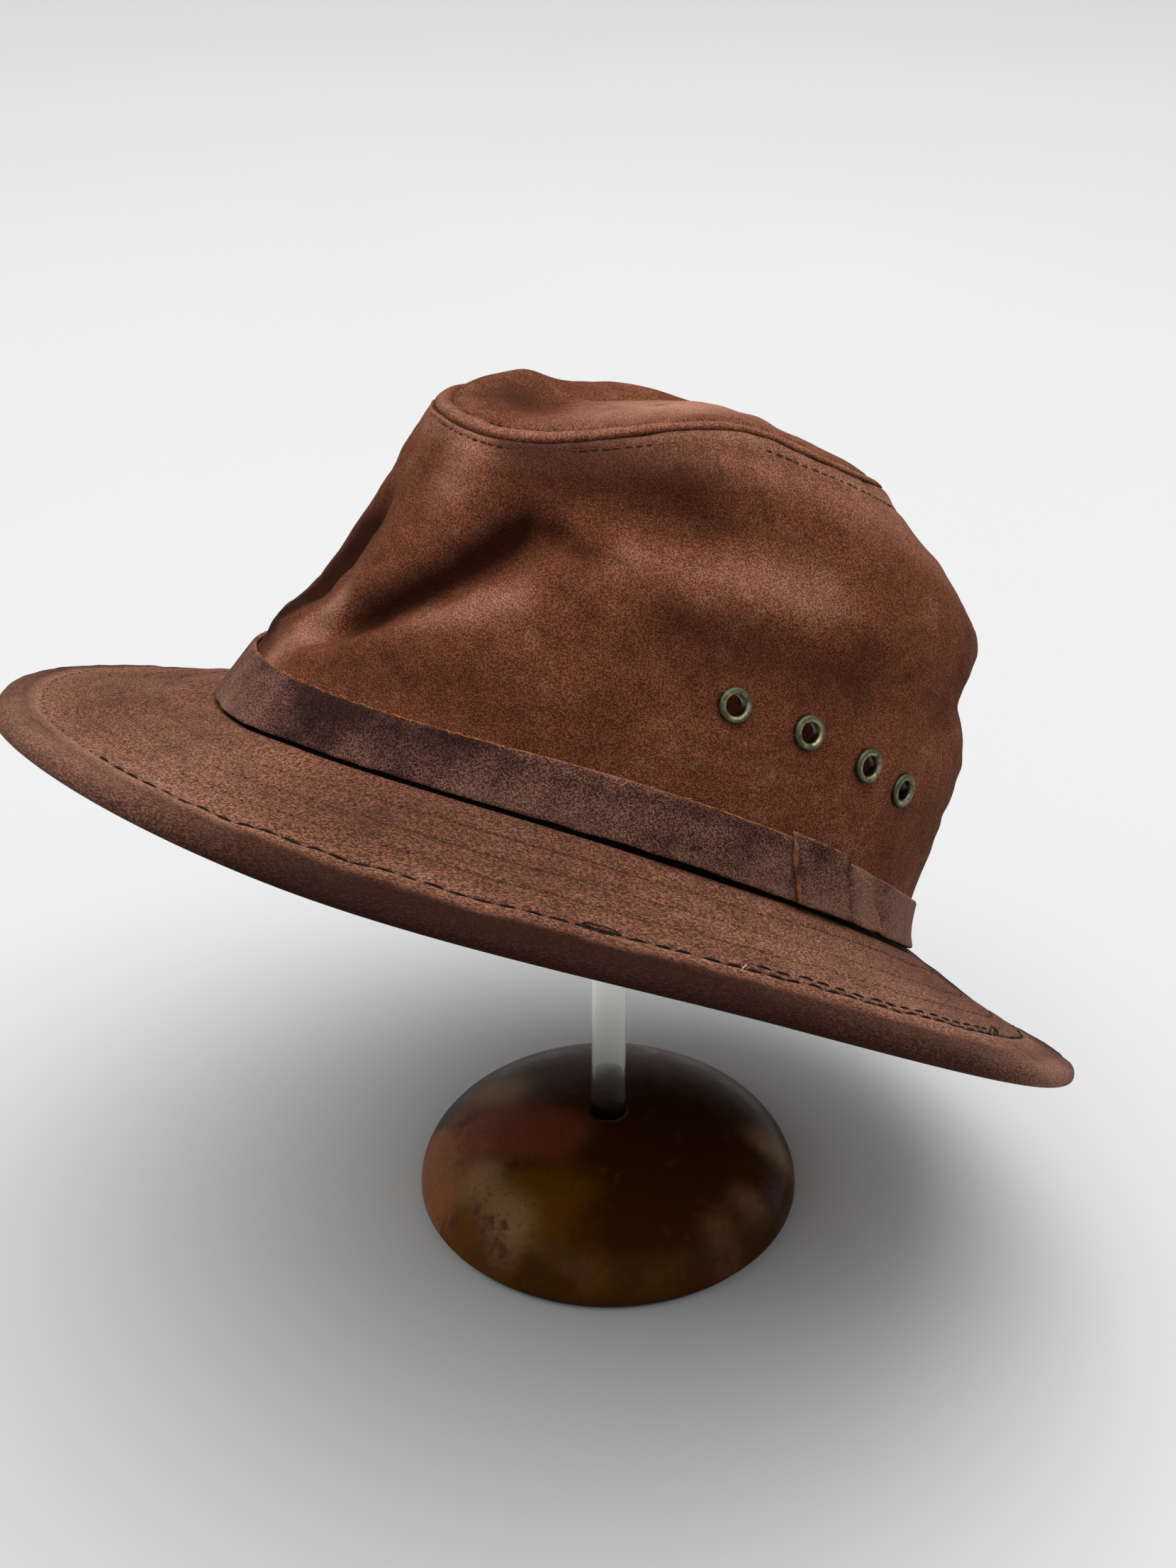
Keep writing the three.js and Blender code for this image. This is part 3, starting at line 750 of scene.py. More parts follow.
@dataclass(frozen=True)
class GlazeFinish(Finish):
    """A mottled semi-gloss glaze: a dark ground with coloured clouds and dark veins, painted reflections and
    a painted shadow at the foot, laid on in order.
    """

    ground: Colour = (0.036, 0.0105, 0.0008)
    layers: tuple[GlazeLayer, ...] = (
        GlazeLayer(Glaze.OCHRE, (0.092, 0.035, 0.0016), False, 1.0, (0.6, 1.3)),
        # Painted reflections of the bright room on the dome's flanks.
        GlazeLayer(Glaze.PALE, (0.19, 0.105, 0.048), False, 0.8, (0.5, 1.35)),
        GlazeLayer(Glaze.RED, (0.125, 0.03, 0.013), False, 1.0, (0.65, 1.3)),
        GlazeLayer(Glaze.ROSY, (0.2, 0.072, 0.028), True, 1.6, (0.9, 1.7)),
        GlazeLayer(Glaze.VEINS, (0.07, 0.024, 0.014), True, 4.0, (2.65, 3.25)),
        GlazeLayer(Glaze.PURPLE, (0.055, 0.02, 0.018), True, 2.4, (1.5, 2.2)),
        # Painted shadow where the dome meets the floor.
        GlazeLayer(Glaze.SHADE, (0.008, 0.003, 0.001), True, 0.6, (0.55, 1.3)),
    )
    soft: Noise = Noise(16.0, 6.0, 0.6)
    flakes: Noise = Noise(7.0, 7.0, 0.64)
    specks: Noise = Noise(1.4, 3.0, 0.6)
    speck_span: Pair = (0.5, 0.75)
    most_specks: float = 0.4
    rough_span: Pair = (0.3, 0.7)
    roughness: Pair = (0.24, 0.38)
    relief: float = 0.2
    relief_strength: float = 0.15
    shine: float = 0.04

    def inputs(self, nodes: Nodes) -> dict[str, object]:
        """Works out the shader's inputs: each of the mesh's clouds is broken up and laid over the ground.

        Args:
            nodes: Nodes of the material.

        Returns:
            Sockets or values by name.
        """
        vector = nodes.place()
        soft = nodes.noise(vector, self.soft)
        flakes = nodes.noise(vector, self.flakes)
        colour = self.ground
        for layer in self.layers:
            broken = nodes.math("MULTIPLY", flakes if layer.is_flaky else soft, layer.breakup)
            spread = nodes.math("ADD", nodes.value(layer.glaze.value), broken)
            colour = nodes.mix(nodes.remap(spread, layer.span), colour, layer.colour)
        specks = nodes.remap(nodes.noise(vector, self.specks), self.speck_span, (0.0, self.most_specks))
        return {
            "Base Color": nodes.mix(specks, colour, self.ground),
            "Roughness": nodes.remap(flakes, self.rough_span, self.roughness),
            "Normal": nodes.bump(flakes, self.relief, self.relief_strength),
            "Specular IOR Level": self.shine,
        }


@dataclass(frozen=True)
class AcrylicFinish(Finish):
    """A clear acrylic rod that hardly bends light, with a faint haze of handling marks."""

    tint: Colour = (0.8, 0.81, 0.78)
    drawn: Place = (1.0, 1.0, 0.06)
    streaks: Noise = Noise(0.8, 2.0, 0.5)
    haze: Noise = Noise(9.0, 3.0, 0.6)
    haze_span: Pair = (0.3, 0.7)
    roughness: Pair = (0.08, 0.2)
    relief: float = 0.05
    relief_strength: float = 0.5
    bending: float = 1.12
    coat: float = 0.15
    coat_roughness: float = 0.12

    def inputs(self, nodes: Nodes) -> dict[str, object]:
        """Works out the shader's inputs: clear under a glossy coat, with a hazy roughness and drawn streaks.

        Args:
            nodes: Nodes of the material.

        Returns:
            Sockets or values by name.
        """
        vector = nodes.place()
        drawn = nodes.add("ShaderNodeMapping", {"Vector": vector, "Scale": self.drawn}).outputs[0]
        return {
            "Base Color": self.tint,
            "Roughness": nodes.remap(nodes.noise(vector, self.haze), self.haze_span, self.roughness),
            "Normal": nodes.bump(nodes.noise(drawn, self.streaks), self.relief, self.relief_strength),
            "Transmission Weight": 1.0,
            "IOR": self.bending,
            "Coat Weight": self.coat,
            "Coat Roughness": self.coat_roughness,
        }


@dataclass(frozen=True)
class PaperFinish(Finish):
    """Matt pale paper of the floor."""

    white: Colour = (0.5, 0.504, 0.502)
    shade: Colour = (0.48, 0.484, 0.483)
    clouds: Noise = Noise(1000.0 / 3.0, 3.0, 0.5)
    roughness: float = 0.85
    shine: float = 0.2

    def inputs(self, nodes: Nodes) -> dict[str, object]:
        """Works out the shader's inputs from a faint noise between the two whites."""
        clouds = nodes.noise(nodes.place(), self.clouds)
        colour = nodes.mix(clouds, self.white, self.shade)
        return {"Base Color": colour, "Roughness": self.roughness, "Specular IOR Level": self.shine}


# The hat's forms


@dataclass(frozen=True)
class HatPose:
    """How the hat sits on its stand: tipped back, rolled to its right and moved to its place."""

    tilt: float = 28.6
    roll: float = 15.1
    place: Place = (0.9, -9.5, 133.7)

    def turn(self) -> Array:
        """Rotation matrix: a roll about Y, then a tilt about X.

        Returns:
            The matrix, three by three.
        """
        tilt, roll = math.radians(-self.tilt), math.radians(-self.roll)
        about_x = [[1, 0, 0], [0, math.cos(tilt), -math.sin(tilt)], [0, math.sin(tilt), math.cos(tilt)]]
        about_y = [[math.cos(roll), 0, math.sin(roll)], [0, 1, 0], [-math.sin(roll), 0, math.cos(roll)]]
        return np.array(about_x) @ np.array(about_y)

    def seated(self, shape: Shape) -> Shape:
        """A shape of the upright hat, carried to where the hat rests."""
        return shape._replace(points=shape.points @ self.turn().T + np.array(self.place))


class CrownSection(NamedTuple):
    """One row of the crown: reach from the middle and height on the front, side and back lines."""

    share: float
    front: float
    front_height: float
    side: float
    side_height: float
    back: float
    back_height: float


class Streak(NamedTuple):
    """A fold of the crown's wall, or painted light and shade on it, along a line between two places.

    Each place is an angle in degrees and a height. Strength is a fold's depth, or, for painted light and
    shade, how much paler (above 0) or darker (below 0) the leather is painted. It and the width change evenly
    along the line.
    """

    name: str
    from_angle: float
    from_height: float
    to_angle: float
    to_height: float
    strength: float
    width: float
    end_strength: float
    end_width: float


class Patch(NamedTuple):
    """A dent, a lobe, or a paler (above 0) or darker (below 0) patch.

    It lies by X and Y on the tip, and elsewhere by degrees from the front and share across the leather.
    """

    name: str
    x: float
    y: float
    strength: float
    span_x: float
    span_y: float


def patched(patches: tuple[Patch, ...], x: Array, y: Array) -> Array:
    """Sum of patches: each is its strength times a bell of X, the short way round, and a bell of Y.

    Args:
        patches: The patches.
        x: Degrees, or millimetres of the tip, which is less than half of 360 wide.
        y: Shares across the leather, or millimetres of the tip.

    Returns:
        The sum at each place.
    """
    total = np.zeros(np.broadcast(x, y).shape)
    for patch in patches:
        around = bell(wrapped(x - patch.x), 0.0, patch.span_x)
        total = total + patch.strength * around * bell(y, patch.y, patch.span_y)
    return total


@dataclass(frozen=True)
class CrownForm:
    """The crown's surfaces: the side wall by angle and share of its height, the tip by angle and inset."""

    leather: float = 2.0
    foot_ahead: float = 101.0
    foot_aside: float = 83.5
    foot_saddle: float = 6.2
    top_squareness: float = 0.35
    height_onset: float = 0.1
    foot_level_to: float = 0.08
    mitre_from: float = 0.85
    wall_length: float = 110.0
    seam_lift: Bell = (5.5, -30.0, 24.0)
    lift_from: float = 0.7
    sections: tuple[CrownSection, ...] = (
        CrownSection(0.0, 101.0, -6.2, 83.5, 6.2, 103.5, -6.2),
        CrownSection(0.07, 98.8, 0.4, 82.8, 13.3, 97.6, 0.4),
        CrownSection(0.16, 96.0, 9.0, 82.0, 22.5, 94.7, 9.0),
        CrownSection(0.36, 88.5, 27.0, 80.0, 41.0, 92.6, 32.0),
        CrownSection(0.56, 83.0, 46.0, 77.0, 60.0, 90.8, 54.0),
        CrownSection(0.76, 79.5, 64.0, 70.5, 80.0, 85.5, 74.0),
        CrownSection(0.89, 78.5, 74.0, 63.0, 95.0, 75.0, 88.5),
        CrownSection(1.0, 78.0, 82.0, 49.0, 108.5, 36.0, 109.5),
    )
    folds: tuple[Streak, ...] = (
        Streak("front crease", -6, 54, -7, 32, 5.0, 6, 4.0, 7),
        Streak("front slump", -28, 16, 5, 16, -3.0, 8, -3.0, 8),
        Streak("left pinch", 6, 20, 38, 60, 6.0, 5, 7.0, 10),
        Streak("pinch dimple", 45, 66, 54, 65, 3.2, 3.8, 2.2, 3.8),
        Streak("left slack", 48, 75, 88, 86, 5.0, 9, 3.0, 10),
        Streak("left waist", 88, 63, 130, 59, 2.2, 10, 3.4, 9),
        Streak("back crease", 142, 66, 215, 64, 5.0, 9, 4.0, 9),
        Streak("right waist", -130, 60, -92, 66, 2.2, 11, 2.2, 11),
        Streak("right slack", -98, 90, -58, 68, 3.5, 13, 3.5, 13),
        Streak("right pinch", -50, 61, -31, 38, 6.0, 12, 5.0, 11),
    )
    # Painted light and shade: the rows darken the shaded flanks and hollows of the folds and pale the faces
    # that catch the light.
    light_and_shade_tones: tuple[Streak, ...] = (
        Streak("pinch shade", 12, 28, 34, 61, -1.1, 7, -1.1, 7),
        Streak("pinch corner", 38, 67, 53, 67.5, -0.6, 5, -0.6, 5),
        Streak("upper shade", 30, 82, 68, 88, -0.8, 12, -0.8, 12),
        Streak("low shade", 70, 60, 101, 62, -0.65, 9, -0.65, 9),
        Streak("foot shade", 22, 22, 66, 28, -0.28, 11, -0.28, 11),
        Streak("front lobe", -11, 18, -9, 48, -1.2, 9, -1.2, 9),
        Streak("front plane", 17, 70, 24, 80, 0.4, 9, 0.4, 9),
        Streak("pinch bulge", 14, 24, 42, 50, 0.45, 6, 0.45, 6),
        Streak("slack ridge", 52, 71, 92, 76, 0.4, 8, 0.4, 8),
        Streak("front ridge", 1.5, 11, 5.5, 31, 0.75, 4.4, 0.75, 4.4),
    )
    slit_span: Pair = (8.0, 26.0)
    fold_arc: float = 1.5
    fold_fade: Pair = (0.16, 0.32)
    tip_centre_y: float = -22.0
    tip_mitre_to: float = 0.2
    tip_swell_power: float = 4.0
    tip_rises: Pair = (13.3, 4.3)
    tip_rise_span: Pair = (-66.0, -22.0)
    tip_forms: tuple[Patch, ...] = (
        Patch("centre dent", -8, -22, -6, 10, 44),
        Patch("left dimple", 11, -58, -3, 11, 9),
        Patch("right lobe", -22, -58, 6, 15, 16),
    )
    # Painted shade in the dimple and a painted highlight on the left crest; the crack is a real mark.
    tip_light_shade_and_crack: tuple[Patch, ...] = (
        Patch("dimple shade", 2, -59, -0.75, 18, 12),
        Patch("left crest", 20, -28, 1.0, 14, 32),
        Patch("crack", 16.7, -30.7, -0.9, 0.7, 2.4),
    )

    def end_share(self, cosine: Array, share: Array) -> Array:
        """How far an angle lies towards the front: a squared cosine at the foot, a later rise at the top."""
        plain = np.maximum(cosine, 0.0) ** 2
        return mixed(share, plain, ramp(cosine, self.height_onset, 1.0))

    def slit(self, angle: Array) -> Array:
        """How far the slit under the band stands open: shut at the front and open round the back."""
        return ramp(from_front(angle), *self.slit_span)

    def streaked(self, rows: tuple[Streak, ...], angle: Array, height: Array) -> Array:
        """Sum of folds, or of painted light and shade: each is its strength times a bell of its line's
        distance.

        Args:
            rows: The folds, or the rows of painted light and shade.
            angle: Radians round from the front.
            height: Heights of the unfolded wall.

        Returns:
            The sum at each place.
        """
        degrees = np.degrees(angle)
        total = np.zeros(np.broadcast(angle, height).shape)
        for row in rows:
            middle = (row.from_angle + row.to_angle) / 2
            near = degrees + FULL_TURN * np.round((middle - degrees) / FULL_TURN)
            run_x = (row.to_angle - row.from_angle) * self.fold_arc
            run_y = row.to_height - row.from_height
            x = (near - row.from_angle) * self.fold_arc
            y = height - row.from_height
            along = np.clip((x * run_x + y * run_y) / (run_x**2 + run_y**2), 0.0, 1.0)
            distance = np.hypot(x - along * run_x, y - along * run_y)
            strength = mixed(along, row.strength, row.end_strength)
            total = total + strength * bell(distance, 0.0, mixed(along, row.width, row.end_width))
        return total

    def column(self, name: str, share: Array) -> Array:
        """One column of the sections at shares of the wall's height."""
        return along_table(self.sections, "share", name, share)

    def wall_height(self, angle: Array, share: Array) -> Array:
        """Height of the side wall: front, side and back heights blended by angle, with the seam's lift.

        Args:
            angle: Radians round from the front.
            share: Shares of the wall's height.

        Returns:
            The heights.
        """
        front = self.end_share(np.cos(angle), share)
        back = self.end_share(-np.cos(angle), share)
        lift = hump(wrapped(np.degrees(angle)), *self.seam_lift) * ramp(share, self.lift_from, 1.0)
        ends = front * self.column("front_height", share) + back * self.column("back_height", share)
        return ends + (1 - front - back) * self.column("side_height", share) + lift

    def wall(self, angle: Array, share: Array) -> Array:
        """Outer face of the side wall: a squarish oval at each share, with the folds pressed in.

        Args:
            angle: Radians round from the front.
            share: Shares of the wall's height.

        Returns:
            The points.
        """
        angle, share = np.broadcast_arrays(np.asarray(angle, float), np.asarray(share, float))
        cosine, sine = np.cos(angle), np.sin(angle)
        ahead = np.where(cosine > 0, self.column("front", share), self.column("back", share))
        aside = self.column("side", share)
        power = 2.0 / (2.0 + self.top_squareness * share)
        height = self.wall_height(angle, share)
        x = aside * np.sign(sine) * np.abs(sine) ** power
        y = -ahead * np.sign(cosine) * np.abs(cosine) ** power
        outward = unit(np.stack([sine / aside, -cosine / ahead, np.zeros_like(sine)], axis=-1))
        depth = ramp(share, *self.fold_fade) * self.streaked(self.folds, angle, height)
        return np.stack([x, y, height], axis=-1) - depth[..., None] * outward

    def seam_height(self, y: Array) -> Array:
        """Height of the top seam along the hat's middle, which carries the tip's surface.

        Args:
            y: Places along the hat's middle.

        Returns:
            The heights.
        """
        seam = self.sections[-1]
        ahead = ramp(-y / seam.front, self.height_onset, 1.0) * (seam.front_height - seam.side_height)
        behind = ramp(y / seam.back, self.height_onset, 1.0) * (seam.back_height - seam.side_height)
        return seam.side_height + ahead + behind

    def tip(self, angle: Array, inset: Array) -> Array:
        """Outer face of the tip: rings that shrink to the middle, raised by a swell, dents and lobes.

        Args:
            angle: Radians round from the front.
            inset: 0 on the seam and 1 at the middle.

        Returns:
            The points.
        """
        angle, inset = np.broadcast_arrays(np.asarray(angle, float), np.asarray(inset, float))
        ring = 1.0 - inset
        rim = self.wall(angle, np.ones_like(angle))
        x = ring * rim[..., 0]
        y = mixed(ring, self.tip_centre_y, rim[..., 1])
        rise = mixed(ramp(y, *self.tip_rise_span), *self.tip_rises)
        swell = 1.0 - ring**self.tip_swell_power
        level = mixed(1.0 - ring**2, rim[..., 2], self.seam_height(y))
        height = level + (rise + patched(self.tip_forms, x, y)) * swell
        return np.stack([x, y, height + SEAM_GAP * math.sqrt(2)], axis=-1)

    @staticmethod
    def normal(surface: Surface, angle: Array, value: Array) -> Array:
        """Outward normal of a surface: its step round crossed with its step up or inwards.

        Args:
            surface: The wall or tip function.
            angle: Radians round from the front.
            value: Shares or insets.

        Returns:
            Unit normals.
        """
        low, high = np.clip(value - STEP, 0.0, 1.0), np.clip(value + STEP, 0.0, 1.0)
        around = surface(angle + STEP, value) - surface(angle - STEP, value)
        return unit(np.cross(around, surface(angle, high) - surface(angle, low)))

    def mitre(self, angle: Array) -> Array:
        """Direction halfway between outward and up, in which the seam's cut edges lie.

        Args:
            angle: Radians round from the front.

        Returns:
            Unit vectors.
        """
        rim = self.wall(angle, np.ones_like(angle))
        outward = np.stack([rim[..., 0], rim[..., 1] - self.tip_centre_y, np.zeros_like(angle)], axis=-1)
        return unit(unit(outward) + UP)

    def inside(self, surface: Surface, angle: Array, value: Array, away: Array, turned: Array) -> Array:
        """Inner face of the wall or tip: one leather inside, along a way that turns to the mitre."""
        return surface(angle, value) - self.leather * unit(mixed(turned[..., None], away, self.mitre(angle)))

    def wall_inside(self, angle: Array, share: Array) -> Array:
        """Inner face of the wall, which is cut level at the foot.

        Args:
            angle: Radians round from the front.
            share: Shares of the wall's height.

        Returns:
            The points.
        """
        away = self.normal(self.wall, angle, share)
        away[..., 2] *= ramp(share, 0.0, self.foot_level_to)
        return self.inside(self.wall, angle, share, away, ramp(share, self.mitre_from, 1.0))

    def tip_inside(self, angle: Array, inset: Array) -> Array:
        """Inner face of the tip."""
        turned = 1.0 - ramp(inset, 0.0, self.tip_mitre_to)
        return self.inside(self.tip, angle, inset, self.normal(self.tip, angle, inset), turned)


class EyeletPlace(NamedTuple):
    """Where an eyelet sits on the crown's wall."""

    angle: float
    share: float


EYELET_PLACES = (
    EyeletPlace(84.3, 0.424), EyeletPlace(96, 0.426), EyeletPlace(108.8, 0.409), EyeletPlace(119.2, 0.393),
)


# The hat's pieces


@dataclass
class Crown:
    """The crown: its sewn side and tip, with the top seam's rolled lips and stitch channels.

    Pairs named for the seam hold what it is at the front and sides, and at the back, where it lies flat.
    """

    form: CrownForm
    pose: HatPose
    finish: LeatherFinish
    steps: int = 360
    wall_rows: int = 118
    wall_bend: Pair = (0.7, 0.88)
    wall_closing: float = 0.8
    tip_rows: int = 64
    tip_end: float = 0.985
    tip_bend: Pair = (0.35, 0.16)
    flat_span: Pair = (65.0, 105.0)
    seam_fullness: Pair = (1.0, 0.3)
    seam_shades: Pair = (0.6, 0.2)
    seam_channels: Pair = (2.7, 1.9)
    seam_line: float = 0.45
    lip: float = 1.0
    channel_depth: float = 0.45
    channel_width: float = 0.8
    tip_channel: float = 4.4
    tip_puff: Bell = (0.5, 2.2, 1.2)
    wall_lumps: tuple[Lumps, ...] = ((0.35, 16.0, 3), (0.14, 6.0, 4))
    wall_lump_fade: Pair = (0.16, 0.3)
    tip_lumps: Lumps = (0.28, 13.0, 5)
    tip_lump_fade: Pair = (1.0, 5.0)
    # Paler seam lips: scuffed, and painted highlights where the puffed lips catch the light.
    wall_rubs_and_highlights: tuple[Bell, ...] = ((0.5, 1.4, 1.2), (0.3, 6.0, 4.0))
    tip_rub_and_highlight: Bell = (0.35, 2.0, 1.3)
    tip_channel_shade: Bell = (0.2, 4.4, 0.6)
    # Painted shade on the crown's foot, deep in the slit under the band.
    foot_painted_shade: Pair = (0.02, 0.045)
    inside_crease: float = 0.45
    inside_raw: float = 0.25
    hole_radius: float = 3.4
    foot_sink: float = 0.6

    def at_seam(self, ends: Pair, angle: Array) -> Array:
        """What the top seam is at an angle, between its front and its flat back."""
        return mixed(ramp(from_front(angle), *self.flat_span), *ends)

    def relief(self, angle: Array, distance: Array, channel_at: Array | float) -> Array:
        """Depth below the plain surface near the top seam: a quarter-round lip, then a bell-shaped channel.

        Args:
            angle: Radians round from the front.
            distance: Distance from the seam along the leather.
            channel_at: Distance of the stitch channel.

        Returns:
            The depth at each distance.
        """
        inside = np.clip(self.lip - distance, 0.0, self.lip)
        rolled = self.lip - np.sqrt(self.lip**2 - inside**2)
        channel = self.channel_depth * bell(distance, channel_at, self.channel_width)
        return self.at_seam(self.seam_fullness, angle) * rolled + channel

    def wear(self, angle: Array, distance: Array, tone: Array, rub: Array, painted_shade: Array) -> dict[str, Array]:
        """The leather's values on an outer face: painted light and shade by its tone and along the seam.

        Args:
            angle: Radians round from the front.
            distance: Distance from the seam along the leather.
            tone: How much paler or darker it is: painted light and shade, and on the tip a crack.
            rub: How far the seam's lips are scuffed paler and take a painted highlight.
            painted_shade: How far it is blackened by painted shade, deep in the slit under the band.

        Returns:
            Values by name.
        """
        # Painted shade in the seam's groove.
        line = self.at_seam(self.seam_shades, angle) * bell(distance, 0.0, self.seam_line)
        return {
            "rub": np.maximum(tone, 0.0) + rub,
            "crease": np.maximum(-tone, 0.0) + line,
            "raw": np.zeros_like(tone),
            "painted_shade": painted_shade,
        }

    def lined(self, values: dict[str, Array], inner_first: bool) -> dict[str, Array]:
        """Values of an outer face, with those of its bare inner face beside them.

        Args:
            values: Values of the outer face by name.
            inner_first: Whether the inner face comes first.

        Returns:
            Values of both by name.
        """
        bare = {"rub": 0.0, "crease": self.inside_crease, "raw": self.inside_raw, "painted_shade": 0.0}
        both = {}
        for name, grid in values.items():
            faces = [np.clip(grid, 0, 1), np.full_like(grid, bare[name])]
            both[name] = np.concatenate(faces[::-1] if inner_first else faces, axis=1)
        return both

    def side_shape(self) -> Shape:
        """The side wall: outer and inner grids joined at the foot and the seam, with holes for the eyelets.

        Returns:
            The shape in the hat's frame.
        """
        shares = graded(1.0, self.wall_bend, self.wall_closing, self.wall_rows)
        angle, share = np.broadcast_arrays(even_turn(self.steps)[:, None], shares[None])
        plain = self.form.wall(angle, share)
        normal = self.form.normal(self.form.wall, angle, share)
        distance = (1.0 - share) * self.form.wall_length
        lumps = sum(unevenness(plain, *sizes) for sizes in self.wall_lumps)
        lumps = lumps * ramp(share, *self.wall_lump_fade)
        away = lumps - self.relief(angle, distance, self.at_seam(self.seam_channels, angle))
        outer = plain + away[..., None] * normal
        inner = self.form.wall_inside(angle, share)
        for face in (outer, inner):
            face[:, 0, 2] -= self.foot_sink
        # Painted light and shade on the wall.
        tone = self.form.streaked(self.form.light_and_shade_tones, angle, self.form.wall_height(angle, share))
        # Scuffed lips with painted highlights.
        rub = sum(hump(distance, *sizes) for sizes in self.wall_rubs_and_highlights)
        # Painted shade deep in the slit under the band.
        painted_shade = 1.0 - ramp(share, *self.foot_painted_shade)
        values = self.lined(self.wear(angle, distance, tone, rub, painted_shade), False)
        points = np.concatenate([outer, inner[:, ::-1]], axis=1)
        fields = {name: grid.ravel() for name, grid in values.items()}
        return Shape(points.reshape(-1, 3), self.holed_faces(plain), fields)

    def holed_faces(self, plain: Array) -> tuple[Array, ...]:
        """Faces of the wall's grid, with the cells under each eyelet left out and the holes' edges walled.

        A hole's wall joins each edge between an open and a closed cell to that of the inner face.

        Args:
            plain: Points of the wall's outer grid.

        Returns:
            The kept faces and the holes' walls.
        """
        rows, columns = plain.shape[:2]
        loop = 2 * columns
        beside = (plain + np.roll(plain, -1, axis=0)) / 2
        middle = (beside[:, :-1] + beside[:, 1:]) / 2
        is_open = np.zeros((rows, columns - 1), bool)
        for side in Side:
            for place in EYELET_PLACES:
                centre = self.form.wall(side.value * math.radians(place.angle), place.share)
                is_open |= np.linalg.norm(middle - centre, axis=-1) < self.hole_radius
        gone = np.zeros((rows, loop), bool)
        gone[:, : columns - 1] = is_open
        gone[:, columns : loop - 1] = is_open[:, ::-1]
        faces = [grid_faces(rows, loop, True, True)[~gone.ravel()]]
        ahead = np.roll(is_open, -1, axis=0)
        above = np.pad(is_open[:, 1:], ((0, 0), (0, 1)))
        for other, row_step, column_step, way in ((ahead, 1, 0, 1), (above, 0, 1, -1)):
            for edge, facing in ((~is_open & other, way), (is_open & ~other, -way)):
                row, column = np.nonzero(edge)
                start, end = (row + row_step) % rows * loop, (row + 1) % rows * loop
                low, high = column + column_step, column + 1
                corners = [start + low, start + loop - 1 - low, end + loop - 1 - high, end + high]
                faces.append(np.stack(corners, axis=-1)[:, ::facing])
        return tuple(faces)

    def tip_shape(self) -> Shape:
        """The tip: outer and inner grids joined at the seam and closed at the middle.

        Returns:
            The shape in the hat's frame.
        """
        insets = graded(self.tip_end, self.tip_bend, 1.0, self.tip_rows)
        angle, inset = np.broadcast_arrays(even_turn(self.steps)[:, None], insets[None])
        plain = self.form.tip(angle, inset)
        normal = self.form.normal(self.form.tip, angle, inset)
        distance = inset * np.linalg.norm(plain[:, :1] - self.form.tip(0.0, 1.0), axis=-1)
        lumps = unevenness(plain, *self.tip_lumps) * ramp(distance, *self.tip_lump_fade)
        puff = hump(distance, *self.tip_puff) * self.at_seam(self.seam_fullness, angle)
        away = lumps + puff - self.relief(angle, distance, self.tip_channel)
        outer = plain + away[..., None] * normal
        inner = self.form.tip_inside(angle, inset)
        # Painted light and shade on the tip, and its crack.
        tone = patched(self.form.tip_light_shade_and_crack, plain[..., 0], plain[..., 1])
        # The tip's lip is scuffed paler and takes a painted highlight.
        values = self.wear(angle, distance, tone, hump(distance, *self.tip_rub_and_highlight), np.zeros_like(tone))
        # Painted shade in the tip's stitch channel.
        values["crease"] = values["crease"] + hump(distance, *self.tip_channel_shade)
        rows, columns = inset.shape
        points = np.concatenate([inner[:, ::-1], outer], axis=1).reshape(-1, 3)
        poles = np.stack([inner[:, -1].mean(axis=0), outer[:, -1].mean(axis=0)])
        here, last = np.arange(rows) * 2 * columns, 2 * columns - 1
        fans = fan(here, len(points))[:, ::-1], fan(here + last, len(points) + 1)
        faces = (grid_faces(rows, 2 * columns, True, False), *fans)
        both = self.lined(values, True)
        fields = {name: np.append(grid, grid[:, [0, -1]].mean(axis=0)) for name, grid in both.items()}
        return Shape(np.concatenate([points, poles]), faces, fields)

    def build(self) -> None:
        """Builds and dresses the side and the tip."""
        material = self.finish.material()
        for node, shape in (("crown_side", self.side_shape()), ("crown_tip", self.tip_shape())):
            stand_in(node, self.pose.seated(shape), material)


class RimPlace(NamedTuple):
    """A height or a share of the brim at an angle in degrees, the same on both sides."""

    angle: float
    value: float


